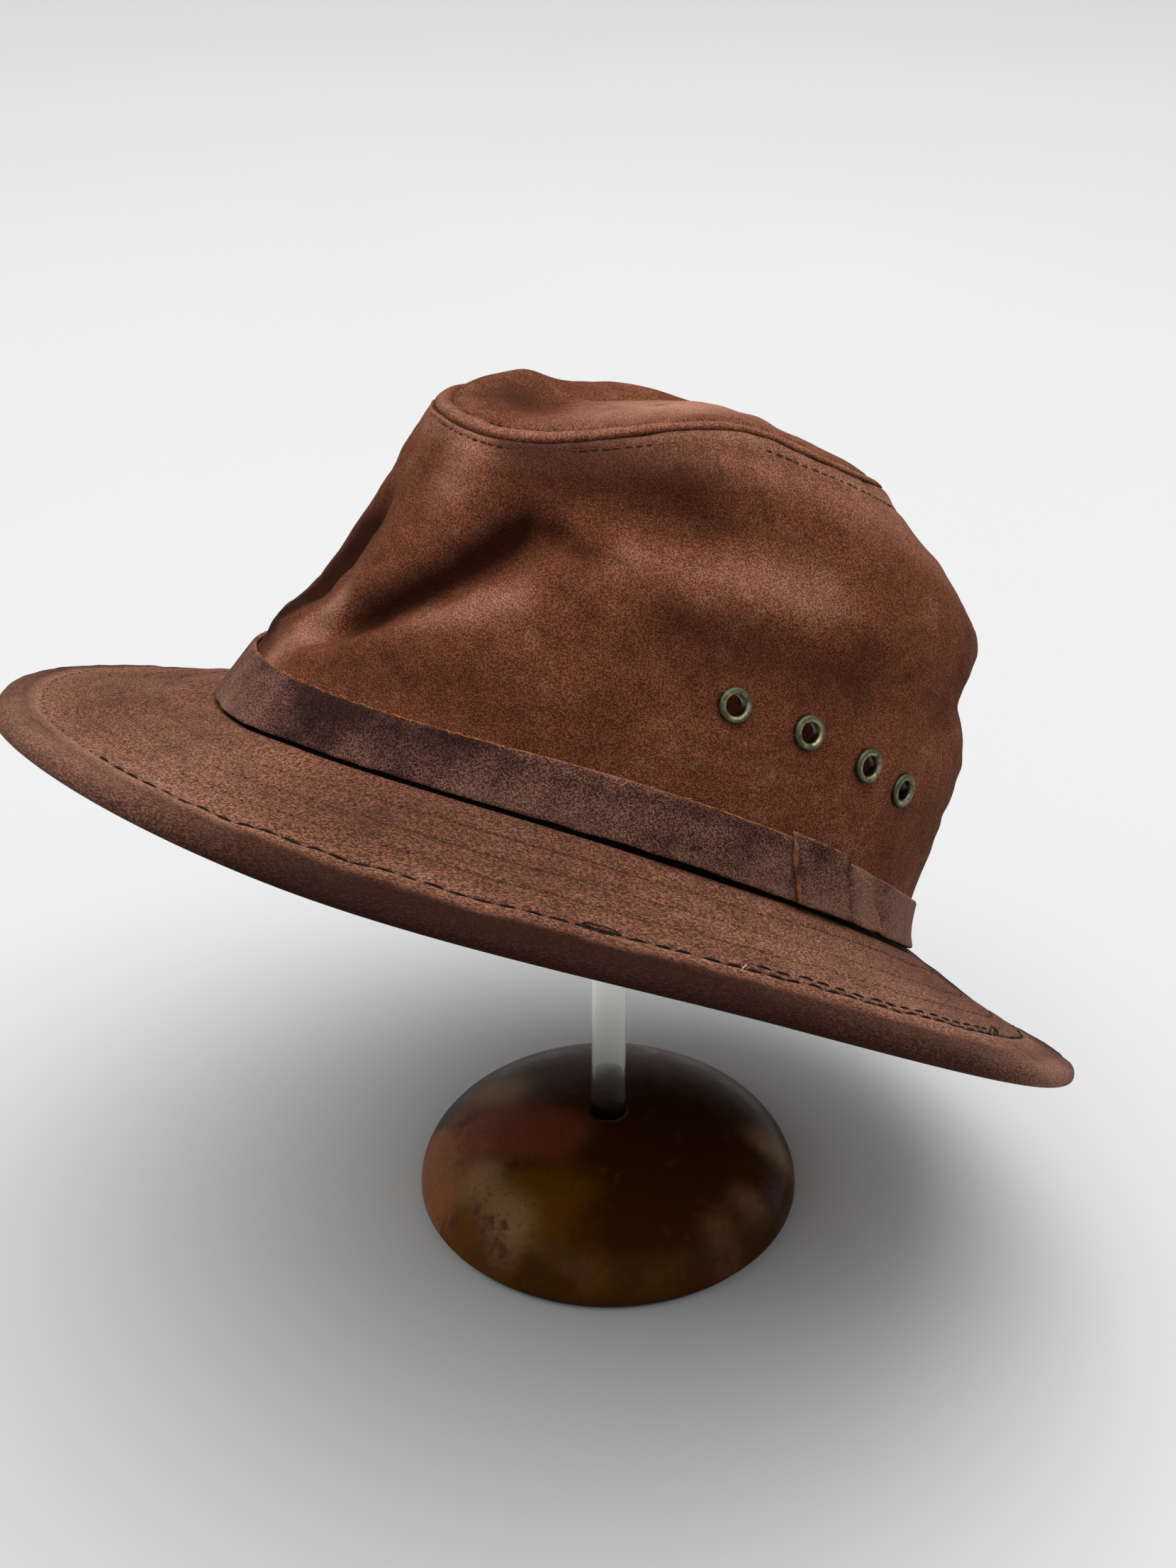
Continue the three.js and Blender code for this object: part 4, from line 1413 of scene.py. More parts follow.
@dataclass
class Brim:
    """The layered brim: drooping, sewn with rings of stitches, with a fuller rolled rim."""

    crown: CrownForm
    pose: HatPose
    finish: LeatherFinish
    front: float = 51.3
    side: float = 53.0
    back: float = 54.5
    thick: float = 3.2
    rim_thick: float = 5.0
    rim_span: Pair = (0.78, 0.88)
    rim_share: float = 0.945
    seat_share: float = 0.02
    inner_share: float = -0.035
    bow: float = 1.1
    edge_heights: tuple[RimPlace, ...] = (
        RimPlace(0, -27.6), RimPlace(45, -21.8), RimPlace(90, -8.9), RimPlace(135, -11.2),
        RimPlace(180, -21.0),
    )
    row_places: tuple[RimPlace, ...] = (
        RimPlace(0, 0.8), RimPlace(22, 0.8), RimPlace(34, 0.775), RimPlace(46, 0.735), RimPlace(75, 0.73),
        RimPlace(90, 0.72), RimPlace(105, 0.695), RimPlace(130, 0.68), RimPlace(180, 0.72),
    )
    # Painted light and shade round the brim; the far side is painted paler.
    patches: tuple[Patch, ...] = (
        Patch("front sun", 24, 0.5, 0.3, 13, 0.4),
        Patch("side shade", 58, 0.3, -0.28, 20, 0.4),
        Patch("back sun", 108, 0.5, 0.3, 20, 0.4),
        Patch("rim sun", 135, 0.97, 0.8, 15, 0.16),
        Patch("front rim sun", 4, 0.93, 0.65, 32, 0.19),
        Patch("rim shade", 66, 0.97, -0.3, 24, 0.12),
        Patch("far side", -60, 0.5, 0.15, 40, 0.4),
    )
    steps: int = 480
    rim_steps: int = 27
    below_steps: int = 28
    rows: int = 4
    row_share: float = 0.73
    row_gap: float = 0.177
    row_follow: tuple[Pair, Pair] = ((0.0, 0.15), (0.75, 0.94))
    groove: float = 0.012
    row_depth: float = 0.25
    main_depth: float = 0.5
    faint_depth: float = 0.1
    faint_at: float = -25.0
    faint_fade: Pair = (40.0, 58.0)
    line_shade: float = 0.4
    line_width: float = 0.004
    ring_fade: Pair = (25.0, 60.0)
    lumps: tuple[Lumps, ...] = ((0.22, 22.0, 11), (0.12, 7.0, 12))
    lump_fade: Pair = (0.06, 0.2)
    lump_turn: Pair = (-0.5, 1.2)
    seat_rises: Pair = (1.1, 2.1)
    seat_span: Pair = (88.0, 112.0)
    seat_in: Pair = (0.006, 0.022)
    seat_out: Pair = (0.04, 0.3)
    # Paler ridges beside the outer row: scuffed, and painted highlights where they catch the light.
    ridge_rubs_and_highlights: tuple[Bell, ...] = ((0.3, 0.76, 0.02), (0.12, 0.7, 0.025))
    # The lower face is darker. The rim is darker by its own colour and by painted shade, most at its bottom.
    # The upper face darkens towards the rim, and painted shade lies in the grooves.
    under_darkening: float = 0.6
    rim_dark_and_shade: Pair = (1.0, 0.9)
    top_darkening: float = 0.86
    top_darkening_span: Pair = (0.79, 0.88)
    groove_shade: float = 0.35
    # Painted shade on the seat, in the slit under the band.
    seat_painted_shade: float = 0.95
    seat_painted_shade_span: Pair = (0.012, 0.034)
    lay_radius: float = 120.0
    lay_stretch: float = 1.7

    def middle(self, angle: Array, share: Array) -> Array:
        """Middle of the brim's thickness: an oval that widens outwards and droops from its seat to its edge.

        Args:
            angle: Radians round from the front.
            share: Shares of the brim's width, outwards.

        Returns:
            The points.
        """
        angle, share = np.broadcast_arrays(np.asarray(angle, float), np.asarray(share, float))
        cosine = np.cos(angle)
        width = mixed((1 + cosine) / 2, self.back, self.front)
        x = (self.crown.foot_aside + self.side * share) * np.sin(angle)
        y = -(self.crown.foot_ahead + width * share) * cosine
        edge = along_table(self.edge_heights, "angle", "value", from_front(angle))
        seat = -self.crown.foot_saddle * np.cos(2 * angle) - SEAM_GAP - self.thick / 2
        slide = np.maximum((share - self.seat_share) / (1 - self.seat_share), 0.0) ** self.bow
        return np.stack([x, y, mixed(slide, seat, edge)], axis=-1)

    def half_thick(self, share: Array) -> Array:
        """Half the brim's thickness, which grows at the rim."""
        return mixed(ramp(share, *self.rim_span), self.thick, self.rim_thick) / 2

    def ring_shares(self) -> Array:
        """Even shares of the stitched rings, the outermost first."""
        return self.row_share - self.row_gap * np.arange(self.rows)

    def sewn_share(self, angle: Array, even: Array) -> Array:
        """Share at which a ring of an even share really lies: all rings wander with the outer row.

        Args:
            angle: Radians round from the front.
            even: Even shares, of rings that don't wander.

        Returns:
            Shares of the brim's width.
        """
        shift = along_table(self.row_places, "angle", "value", from_front(angle)) - self.row_share
        begin, end = self.row_follow
        return even + shift * ramp(even, *begin) * (1.0 - ramp(even, *end))

    def quilting(self, angle: Array, even: Array) -> Array:
        """Depth of the stitched rings' grooves: a bell across each, and a shallower outer one at the front.

        Args:
            angle: Radians round from the front.
            even: Even shares.

        Returns:
            The depth at each place.
        """
        away = np.abs(wrapped(np.degrees(angle) - self.faint_at))
        full = mixed(ramp(away, *self.faint_fade), self.faint_depth, self.main_depth)
        inner = sum(hump(even, self.row_depth, ring, self.groove) for ring in self.ring_shares()[1:])
        return full * bell(even, self.row_share, self.groove) + inner

    def sewn_line(self, angle: Array, even: Array) -> Array:
        """Painted shade in the thin lines along which the faint rings are sewn, which fade out at the front.
        """
        line = sum(hump(even, self.line_shade, ring, self.line_width) for ring in self.ring_shares()[1:])
        return line * ramp(from_front(angle), *self.ring_fade)

    def swell(self, points: Array, angle: Array, share: Array) -> Array:
        """Height added to the upper face: soft lumps that fade inwards, and the turned-up seat.

        Args:
            points: Places on the brim.
            angle: Their radians round from the front.
            share: Their shares of the brim's width.

        Returns:
            The height at each place.
        """
        lumps = sum(unevenness(points, *sizes) for sizes in self.lumps)
        rise = mixed(ramp(from_front(angle), *self.seat_span), *self.seat_rises)
        seat = rise * ramp(share, *self.seat_in) * (1.0 - ramp(share, *self.seat_out))
        return lumps * ramp(share, *self.lump_fade) + seat * self.crown.slit(angle)

    def top(self, angle: Array, even: Array) -> Array:
        """Upper face: the middle raised by half the thickness and pressed in along the stitched rings.

        Args:
            angle: Radians round from the front.
            even: Even shares.

        Returns:
            The points.
        """
        angle, even = np.broadcast_arrays(np.asarray(angle, float), np.asarray(even, float))
        share = self.sewn_share(angle, even)
        point = self.middle(angle, share)
        point[..., 2] += self.half_thick(share) + self.swell(point, angle, share) - self.quilting(angle, even)
        return point

    def top_shares(self) -> Array:
        """Even shares of the upper face's points, from the rim inwards, close together at the grooves.

        Returns:
            The shares.
        """
        outer = np.linspace(self.rim_share, self.row_share + 0.03, 16)
        shares = [outer, np.linspace(0.15, self.inner_share, 26)]
        for ring in self.ring_shares():
            shares.append(ring + self.groove * np.linspace(2.0, -2.0, 11))
            shares.append(ring - self.row_gap * np.array([0.25, 0.4, 0.55, 0.7]))
        sorted_shares = np.unique(np.concatenate(shares).round(5))
        return sorted_shares[sorted_shares >= self.inner_share][::-1]

    def shape(self) -> Shape:
        """The whole brim: lower face, rolled rim and upper face as one loop carried round.

        The lay of the leather's sheet is a circle round the hat, drawn out, and the run along the loop.

        Returns:
            The shape in the hat's frame.
        """
        angle = even_turn(self.steps)[:, None]
        below = np.linspace(self.inner_share, self.rim_share, self.below_steps)
        turn = np.linspace(-0.5, 0.5, self.rim_steps)[1:-1] * math.pi
        roll = 1.0 - self.rim_thick / 2 / self.side * (1.0 - np.cos(turn))
        above = self.top_shares()
        under = self.middle(angle, below[None])
        under[..., 2] -= self.half_thick(below)
        rim = self.middle(angle, roll[None])
        rim[..., 2] += np.sin(turn) * self.rim_thick / 2
        rim[..., 2] += self.swell(rim, angle, roll[None]) * ramp(turn, *self.lump_turn)
        points = np.concatenate([under, rim, self.top(angle, above[None])], axis=1)
        around = self.lay_radius / self.lay_stretch
        sheet = (around * np.cos(angle), around * np.sin(angle), run_along(points[self.steps // 4])[None])
        lay = np.stack(np.broadcast_arrays(*sheet), axis=-1).reshape(-1, 3) * MILLIMETRE
        fields = self.wear(angle, below, turn, roll, above) | {"lay": lay}
        return Shape(points.reshape(-1, 3), (grid_faces(*points.shape[:2], True, True),), fields)

    def wear(self, angle: Array, below: Array, turn: Array, roll: Array, above: Array) -> dict[str, Array]:
        """The leather's values round the brim: the darkening of its section, the painted light and shade of
        its patches, and the painted shade of its grooves, its sewn lines and its seat in the slit.

        Args:
            angle: Radians round from the front, as a column.
            below: Shares of the lower face.
            turn: Angles of the rim's roll.
            roll: Shares of the rim's roll.
            above: Even shares of the upper face.

        Returns:
            Values by name.
        """
        # Darkening across the section: lower face, rim with its painted shade, outer edge of the upper face.
        section_dark_and_shade = [
            np.full_like(below, self.under_darkening),
            mixed((1.0 + np.sin(turn)) / 2, *self.rim_dark_and_shade),
            self.top_darkening * ramp(above, *self.top_darkening_span),
        ]
        plain = np.zeros((self.steps, len(below) + len(turn) + len(above)))
        rub, crease, painted_shade = plain.copy(), plain + np.concatenate(section_dark_and_shade), plain.copy()
        upper = np.s_[:, -len(above) :]
        # Scuffed ridges with painted highlights.
        rub[upper] = sum(hump(above, *sizes) for sizes in self.ridge_rubs_and_highlights)
        # Painted shade in the grooves and along the sewn lines.
        crease[upper] += self.groove_shade * self.quilting(angle, above[None]) / self.main_depth
        crease[upper] += self.sewn_line(angle, above[None])
        # Painted shade on the seat, in the slit.
        painted_shade[upper] = self.seat_painted_shade * (1 - ramp(above, *self.seat_painted_shade_span)) * self.crown.slit(angle)
        # Painted light and shade of the patches.
        tone = patched(self.patches, np.degrees(angle), np.concatenate([below, roll, above])[None])
        rub = rub + np.maximum(tone, 0.0)
        crease = crease * (1.0 - np.clip(tone, 0.0, 1.0)) + np.maximum(-tone, 0.0)
        values = {"rub": rub, "crease": crease, "raw": plain, "painted_shade": painted_shade}
        return {name: np.clip(grid, 0.0, 1.0).ravel() for name, grid in values.items()}

    def build(self) -> None:
        """Builds and dresses the brim."""
        stand_in("brim", self.pose.seated(self.shape()), self.finish.material())


class Strip(NamedTuple):
    """A strip to lay on the crown's foot.

    Degrees run along it. Top is the share of the wall at its upper edge, lift the gap under it, and slant how
    far its foot lies behind its top in degrees, each at every angle. Waver is how far its ends waver in
    degrees, and raw ends is how far its first and last end show raw fibres.
    """

    degrees: Array
    top: Array
    lift: Array
    slant: Array
    thick: float
    waver: float
    raw_ends: Pair
    seed: int


@dataclass
class Band:
    """The band: one strip wound round the crown's foot, its lapped tail and the keeper that holds it."""

    crown: CrownForm
    pose: HatPose
    finish: LeatherFinish
    thick: float = 1.4
    top_share: float = 0.165
    foot_shut: float = 0.003
    foot_shares: Pair = (0.03, 0.014)
    start: float = 88.0
    lap_span: Pair = (70.0, 86.0)
    end: float = 121.0
    band_waver: float = 0.5
    band_raw: Pair = (0.5, 1.0)
    band_seed: int = 21
    tail_from: float = 111.0
    tail_slant: float = 6.0
    tail_top: float = 0.142
    keeper_span: Pair = (100.4, 111.6)
    keeper_steps: int = 40
    keeper_slant: float = 4.9
    keeper_thick: float = 1.3
    keeper_top: float = 0.18
    keeper_waver: float = 0.16
    keeper_raw: Pair = (1.0, 0.1)
    keeper_seed: int = 31
    # Painted light and shade along the band, with a painted shadow beside the keeper.
    patches: tuple[Patch, ...] = (
        Patch("front sun", 0, 0.6, 0.6, 8, 0.9),
        Patch("front shade", 26, 0.7, -0.75, 9, 0.8),
        Patch("side sun", 55, 0.2, 0.3, 16, 0.3),
        Patch("side shade", 46, 0.9, -0.35, 14, 0.4),
        Patch("back sun", 92, 0.2, 0.45, 13, 0.6),
        Patch("keeper sun", 103, 0.4, 0.2, 5, 0.9),
        Patch("keeper shadow", 112.3, 0.4, -1.6, 0.7, 0.9),
        Patch("tail sun", 118.0, 0.4, 1.2, 4.2, 0.9),
        Patch("far back sun", 138, 0.5, 1.2, 15, 0.9),
    )
    degree_length: float = 1.6
    end_reach: float = 2.0
    foot_waves: Pair = (0.0016, 9.0)
    top_waves: Pair = (0.0012, 2.2)
    sway: Pair = (0.22, 34.0)
    bulge: float = 0.25
    mottles: tuple[Pair, Pair] = ((1.0, 30.0), (0.8, 6.0))
    mottle: float = 0.2
    # Paler near its foot and darker towards its top.
    foot_paling: Bell = (0.3, 0.08, 0.16)
    top_darkening: float = 0.35
    top_darkening_span: Pair = (0.4, 0.95)
    most_darkening: float = 0.85
    edge_raw: Bell = (0.8, 1.0, 0.02)
    end_raw_reach: float = 0.45
    # Painted shade on the inner face at the foot, in the slit.
    foot_painted_shade: float = 0.9
    foot_painted_shade_to: float = 0.02

    @staticmethod
    def section() -> tuple[Array, Array]:
        """A strip's section with softened corners, as heights and depths from 0 to 1.

        Returns:
            Heights up the strip and depths out from the crown, round the section.
        """
        up = np.concatenate([[0.01], np.linspace(0.04, 0.95, 15), [0.98, 0.995, 1.0, 1.0, 0.985]])
        out = np.concatenate([[0.9], np.ones(15), [0.84, 0.6, 0.4, 0.2, 0.06]])
        down = np.concatenate([np.linspace(0.95, 0.05, 8), [0.015, 0.0, 0.0, 0.0]])
        inner = np.concatenate([np.zeros(8), [0.06, 0.22, 0.5, 0.78]])
        return np.concatenate([up, down]), np.concatenate([out, inner])

    def foot(self, angle: Array) -> Array:
        """Share of the wall at which the band's lower edge lies."""
        above = mixed((1 + np.cos(angle)) / 2, *self.foot_shares)
        return mixed(self.crown.slit(angle), self.foot_shut, above)

    def lap_rise(self, degrees: Array) -> Array:
        """How far the band's tail stands off the crown where it laps over the band's start."""
        return (self.thick + SEAM_GAP) * ramp(degrees, *self.lap_span)

    def lifted(self, angle: Array, share: Array, away: Array) -> Array:
        """Places off the crown's wall, along its normal."""
        normal = self.crown.normal(self.crown.wall, angle, share)
        return self.crown.wall(angle, share) + away[..., None] * normal

    def outside(self, degrees: Array, height: Array, away: Array) -> Array:
        """Places just off the outer face of the band's outer layer.

        Args:
            degrees: Angles round from the front, from the front to the tail's end.
            height: Shares of the band's height.
            away: Distances from its face.

        Returns:
            The points.
        """
        angle = np.radians(degrees)
        share = mixed(height, self.foot(angle), self.top_share)
        return self.lifted(angle, share, SEAM_GAP + self.lap_rise(degrees) + self.thick + away)

    def strip(self, cut: Strip) -> Shape:
        """A strip laid on the crown's foot.

        Its section stands out along the crown's normal. Both cut edges and both ends waver slightly.

        Args:
            cut: The strip.

        Returns:
            The shape in the hat's frame.
        """
        height, depth = self.section()
        degrees, seed = cut.degrees, cut.seed
        rng = np.random.default_rng(seed)
        along = np.radians(degrees)[:, None]
        to_end = np.minimum(degrees - degrees[0], degrees[-1] - degrees)
        near_end = np.clip(1.0 - to_end / self.end_reach, 0, 1)[:, None] ** 2
        shift = np.sin(height * 9.0 + rng.uniform(0, 6)) + 0.6 * np.sin(height * 23.0)
        slant = np.radians(cut.slant)[:, None] * (0.5 - height)
        angle = along + near_end * np.radians(cut.waver) * shift + slant
        line = np.outer(degrees * self.degree_length, [1.0, 0.0, 0.0])
        low = self.foot(along) + unevenness(line, *self.foot_waves, seed + 3)[:, None]
        high = (cut.top + unevenness(line, *self.top_waves, seed))[:, None]
        share = low + (high - low) * height
        sway = unevenness(line, *self.sway, seed + 1)[:, None]
        swell = (sway + self.bulge) * np.sin(math.pi * height)
        points = self.lifted(angle, share, cut.lift[:, None] + depth * (cut.thick + swell))
        rows, columns = share.shape
        half, last = columns // 2, (rows - 1) * columns
        order = np.arange(half)
        cells = np.stack([order[:-1], order[1:], columns - 1 - order[1:], columns - 1 - order[:-1]], axis=-1)
        ends = (cells, np.array([[half - 1, half, half + 1]]))
        caps = [end for cap in ends for end in (cap, cap[:, ::-1] + last)]
        faces = (grid_faces(rows, columns, False, True), *caps)
        return Shape(points.reshape(-1, 3), faces, self.wear(cut, points, angle))

    def wear(self, cut: Strip, points: Array, angle: Array) -> dict[str, Array]:
        """The leather's values on a strip: mottled, painted with light and shade by its patches, paler at its
        foot and darker towards its top, with raw edges and painted shade on its inner face at the foot.

        Args:
            cut: The strip.
            points: Its points.
            angle: Their radians round from the front.

        Returns:
            Values by name.
        """
        height, depth = self.section()
        from_ends = np.stack([cut.degrees - cut.degrees[0], cut.degrees[-1] - cut.degrees])
        ends = np.clip(1.0 - from_ends / self.end_raw_reach, 0, 1) * np.array(cut.raw_ends)[:, None]
        seeds = cut.seed + 2, cut.seed + 4
        soft = sum(unevenness(points, *sizes, seed) for sizes, seed in zip(self.mottles, seeds))
        # Painted light and shade of the patches, along the keeper's slant.
        tone = patched(self.patches, np.degrees(angle) - self.keeper_slant * (0.5 - height), height)
        pale = self.mottle * soft + tone + hump(height, *self.foot_paling)
        dark = self.top_darkening * ramp(height, *self.top_darkening_span) - self.mottle * soft - tone
        # Painted shade on the inner face at the foot.
        painted_shade = self.foot_painted_shade * (1 - ramp(height, 0.0, self.foot_painted_shade_to)) * (depth < 0.9)
        values = {
            "rub": np.clip(pale, 0, 1) * (depth > 0.5),
            "crease": np.clip(dark, 0, self.most_darkening),
            "raw": np.maximum(hump(height, *self.edge_raw), ends.max(axis=0)[:, None]),
            "painted_shade": np.broadcast_to(painted_shade, tone.shape),
        }
        return {name: grid.ravel() for name, grid in values.items()}

    def band_shape(self) -> Shape:
        """The wound band: it rises by one thickness and a gap where its tail laps over its start.

        Returns:
            The shape in the hat's frame.
        """
        close, end = 3.0, self.end + FULL_TURN
        degrees = np.concatenate([
            self.start + np.linspace(0, close, 9)[:-1],
            np.linspace(self.start + close, end - close, 330),
            end - np.linspace(close, 0, 12)[1:],
        ])
        tail = ramp(degrees, self.tail_from + FULL_TURN, end)
        top = mixed(tail, self.top_share, self.tail_top)
        lift = SEAM_GAP + self.lap_rise(degrees - FULL_TURN)
        looks = (self.thick, self.band_waver, self.band_raw, self.band_seed)
        return self.strip(Strip(degrees, top, lift, self.tail_slant * tail, *looks))

    def keeper_shape(self) -> Shape:
        """The keeper: a short strip over both layers of the band.

        Returns:
            The shape in the hat's frame.
        """
        degrees = np.linspace(*self.keeper_span, self.keeper_steps)
        lift = SEAM_GAP + 2 * (self.thick + SEAM_GAP)
        even = [np.full(self.keeper_steps, value) for value in (self.keeper_top, lift, self.keeper_slant)]
        looks = (self.keeper_thick, self.keeper_waver, self.keeper_raw, self.keeper_seed)
        return self.strip(Strip(degrees, *even, *looks))

    def build(self) -> None:
        """Builds and dresses the band and its keeper."""
        material = self.finish.material()
        for node, shape in (("hat_band", self.band_shape()), ("band_keeper", self.keeper_shape())):
            stand_in(node, self.pose.seated(shape), material)


@dataclass
class Eyelets:
    """The brass vents: a rolled flange on the wall and a barrel through it."""

    crown: CrownForm
    pose: HatPose
    finish: BrassFinish
    radius: float = 4.4
    hole: float = 2.5
    barrel: float = 3.0
    flange: float = 1.0
    roll_power: float = 0.8
    throat: Pair = (0.1, -0.5)
    clearance: float = 0.45
    sides: int = 56
    # Scuffed bright, with a painted highlight, on the roll near the hole.
    rub: Bell = (1.0, 3.0, 0.6)
    green_span: Pair = (2.9, 4.0)
    least_green: float = 0.3
    roll_from: float = 0.1
    # Strength of the painted shade inside the barrel.
    barrel_shade: float = 0.95

    def profile(self) -> Array:
        """Half section: down the barrel's outside, out under the flange, over its roll and down the hole.

        Returns:
            Rows of radius and height.
        """
        turn = np.linspace(0.0, math.pi, 15)
        middle, half = (self.radius + self.hole) / 2, (self.radius - self.hole) / 2
        roll = zip(middle + half * np.cos(turn), self.flange * np.sin(turn) ** self.roll_power)
        lip = -self.crown.leather
        rows = [(self.hole, lip), (self.barrel, lip), (self.barrel, 0.0), *roll]
        return np.array([*rows, (self.hole - self.throat[0], self.throat[1]), (self.hole, lip)])

    def ring(self) -> Shape:
        """One eyelet about its own axis: scuffed bright with a painted highlight on its roll near the hole,
        green at its edge, and darkened with painted shade inside.

        Returns:
            The shape, standing on the origin.
        """
        ring = lathe(self.profile(), self.sides)
        radial = np.hypot(ring.points[:, 0], ring.points[:, 1])
        on_roll = ring.points[:, 2] > self.roll_from
        values = {
            # Scuffed bright with a painted highlight near the hole.
            "rub": hump(radial, *self.rub) * on_roll,
            "crease": np.clip(ramp(radial, *self.green_span) + self.least_green, 0, 1),
            # Painted shade on all but the roll.
            "painted_shade": np.where(on_roll, 0.0, self.barrel_shade),
        }
        return ring._replace(values=values)

    def build(self) -> None:
        """Builds and dresses both sides' eyelets, each turned to the crown's normal."""
        material, ring = self.finish.material(), self.ring()
        for side in Side:
            for number, place in enumerate(EYELET_PLACES, start=1):
                angle, share = np.array(side.value * math.radians(place.angle)), np.array(place.share)
                outward = self.crown.normal(self.crown.wall, angle, share)
                across = unit(np.cross(UP, outward))
                axes = np.stack([across, np.cross(outward, across), outward])
                points = ring.points @ axes + self.crown.wall(angle, share) + self.clearance * outward
                shape = self.pose.seated(ring._replace(points=points))
                stand_in(f"eyelet_{side.name.lower()}_{number}", shape, material)


class StitchRow(NamedTuple):
    """Sizes of one row of stitches."""

    pitch: float
    length: float
    radius: float
    sink: float
    lift: float


@dataclass
class Stitching:
    """All the sewing: the brim's rings, its doubled outer row and the crown's two seam rows."""

    crown: Crown
    brim: Brim
    pose: HatPose
    black: DullFinish
    brown: DullFinish
    main: StitchRow = StitchRow(5.6, 4.6, 0.36, 0.1, 0.36)
    twofold: StitchRow = StitchRow(5.6, 4.9, 0.42, 0.1, 0.4)
    double: StitchRow = StitchRow(5.6, 4.8, 0.36, 0.25, 0.2)
    ring: StitchRow = StitchRow(4.5, 0.85, 0.3, 0.2, 0.08)
    seam: StitchRow = StitchRow(2.7, 1.9, 0.24, 0.25, 0.06)
    samples: int = 2400
    first_at: float = 0.3
    lengths: Pair = (0.85, 1.1)
    stray: float = 0.06
    stray_aside: float = 0.12
    stitch_steps: int = 6
    stitch_sides: int = 6
    arch_power: float = 0.4
    end_radius: float = 0.55
    flatness: float = 0.55
    faint_span: Pair = (-70.0, 17.0)
    before_gap: float = 0.8
    twofold_from: float = 75.8
    double_from: float = 88.5
    double_to: float = 128.0
    double_gap: float = 0.03

    def row(self, points: Array, normals: Array, sizes: StitchRow, seed: int) -> Shape:
        """Stitches along a path: each is a flat thread whose ends dive into the leather.

        Args:
            points: Close points along the path.
            normals: Outward normals there.
            sizes: The row's sizes.
            seed: Seed of the small unevenness of length and place.

        Returns:
            All the row's stitches as one shape.
        """
        rng = np.random.default_rng(seed)
        run = run_along(points)
        count = int(run[-1] / sizes.pitch)
        starts = (np.arange(count) + self.first_at) * (run[-1] / count)
        lengths = sizes.length * rng.uniform(*self.lengths, count)
        starts = starts + rng.normal(0, self.stray * sizes.pitch, count)
        steps = np.linspace(0.0, 1.0, self.stitch_steps)
        places = np.clip(starts[:, None] + lengths[:, None] * steps, 0, run[-1])
        path, up = (
            np.stack([np.interp(places, run, line[:, axis]) for axis in range(3)], axis=-1)
            for line in (points, normals)
        )
        up = unit(up)
        arch = np.sin(math.pi * steps)
        path = path + up * mixed(arch**self.arch_power, -sizes.sink, sizes.lift)[:, None]
        across = unit(np.cross(up, np.gradient(path, axis=1)))
        path = path + across * rng.normal(0, self.stray_aside * sizes.radius, (count, 1, 1))
        radii = np.broadcast_to(sizes.radius * mixed(arch, self.end_radius, 1.0), places.shape)
        return strands(path, up, radii, self.stitch_sides, self.flatness)

    def brim_row(self, even: float, sizes: StitchRow, seed: int, span: Pair) -> Shape:
        """Part of a ring of stitches on the brim's upper face.

        Args:
            even: Even share of the brim's width.
            sizes: The row's sizes.
            seed: Seed of its unevenness.
            span: Angles of its ends, in degrees.

        Returns:
            The stitches as one shape.
        """
        angle = np.radians(np.linspace(*span, self.samples))
        evens = np.full(self.samples, even)
        share = self.brim.sewn_share(angle, evens)
        ahead = self.brim.middle(angle + STEP, share) - self.brim.middle(angle - STEP, share)
        outwards = self.brim.middle(angle, share + STEP) - self.brim.middle(angle, share - STEP)
        return self.row(self.brim.top(angle, evens), unit(np.cross(outwards, ahead)), sizes, seed)

    def seam_rows(self) -> list[Shape]:
        """The rows on both sides of the top seam.

        Returns:
            The stitches of the tip and of the side wall.
        """
        crown, form = self.crown, self.crown.form
        angle = np.radians(np.linspace(0.0, FULL_TURN, self.samples))
        reach = np.linalg.norm(form.tip(angle, np.zeros_like(angle)) - form.tip(0.0, 1.0), axis=-1)
        share = 1.0 - crown.at_seam(crown.seam_channels, angle) / form.wall_length
        rows = []
        for surface, value, seed in ((form.tip, crown.tip_channel / reach, 61), (form.wall, share, 62)):
            normal = form.normal(surface, angle, value)
            points = surface(angle, value) - crown.channel_depth * normal
            rows.append(self.row(points, normal, self.seam, seed))
        return rows

    def build(self) -> None:
        """Builds and dresses all rows."""
        brim, row_share = self.brim, self.brim.row_share
        faint_from, faint_to = self.faint_span
        doubled = (self.double_from, self.double_to)
        edge = [
            self.brim_row(row_share, self.main, 41, (self.double_to, FULL_TURN + faint_from)),
            self.brim_row(row_share, self.main, 44, (faint_to, self.twofold_from - self.before_gap)),
            self.brim_row(row_share, self.twofold, 43, (self.twofold_from, self.double_to)),
            self.brim_row(row_share - self.double_gap, self.double, 42, doubled),
        ]
        rings = [self.brim_row(row_share, self.ring, 45, self.faint_span)]
        sewn = (brim.ring_fade[0], FULL_TURN - brim.ring_fade[0])
        for seed, share in enumerate(brim.ring_shares()[1:], start=50):
            rings.append(self.brim_row(share, self.ring, seed, sewn))
        black, brown = self.black.material(), self.brown.material()
        for name, rows, material, slot in (
            ("brim_edge_stitches", edge, black, Slot.BRIM),
            ("brim_ring_stitches", rings, brown, Slot.BRIM),
            ("crown_seam_stitches", self.seam_rows(), brown, Slot.CROWN),
        ):
            make_piece(name, self.pose.seated(joined(rows)), material)


class Fray(NamedTuple):
    """A fibre of the band's cut upper edge: where it starts, and its run along, down and outwards in a bow."""

    angle: float
    along: float
    down: float
    bow: float


class ThreadPlace(NamedTuple):
    """A place along a loose thread on the brim: its angle, even share and height above the leather."""

    run: float
    angle: float
    share: float
    lift: float


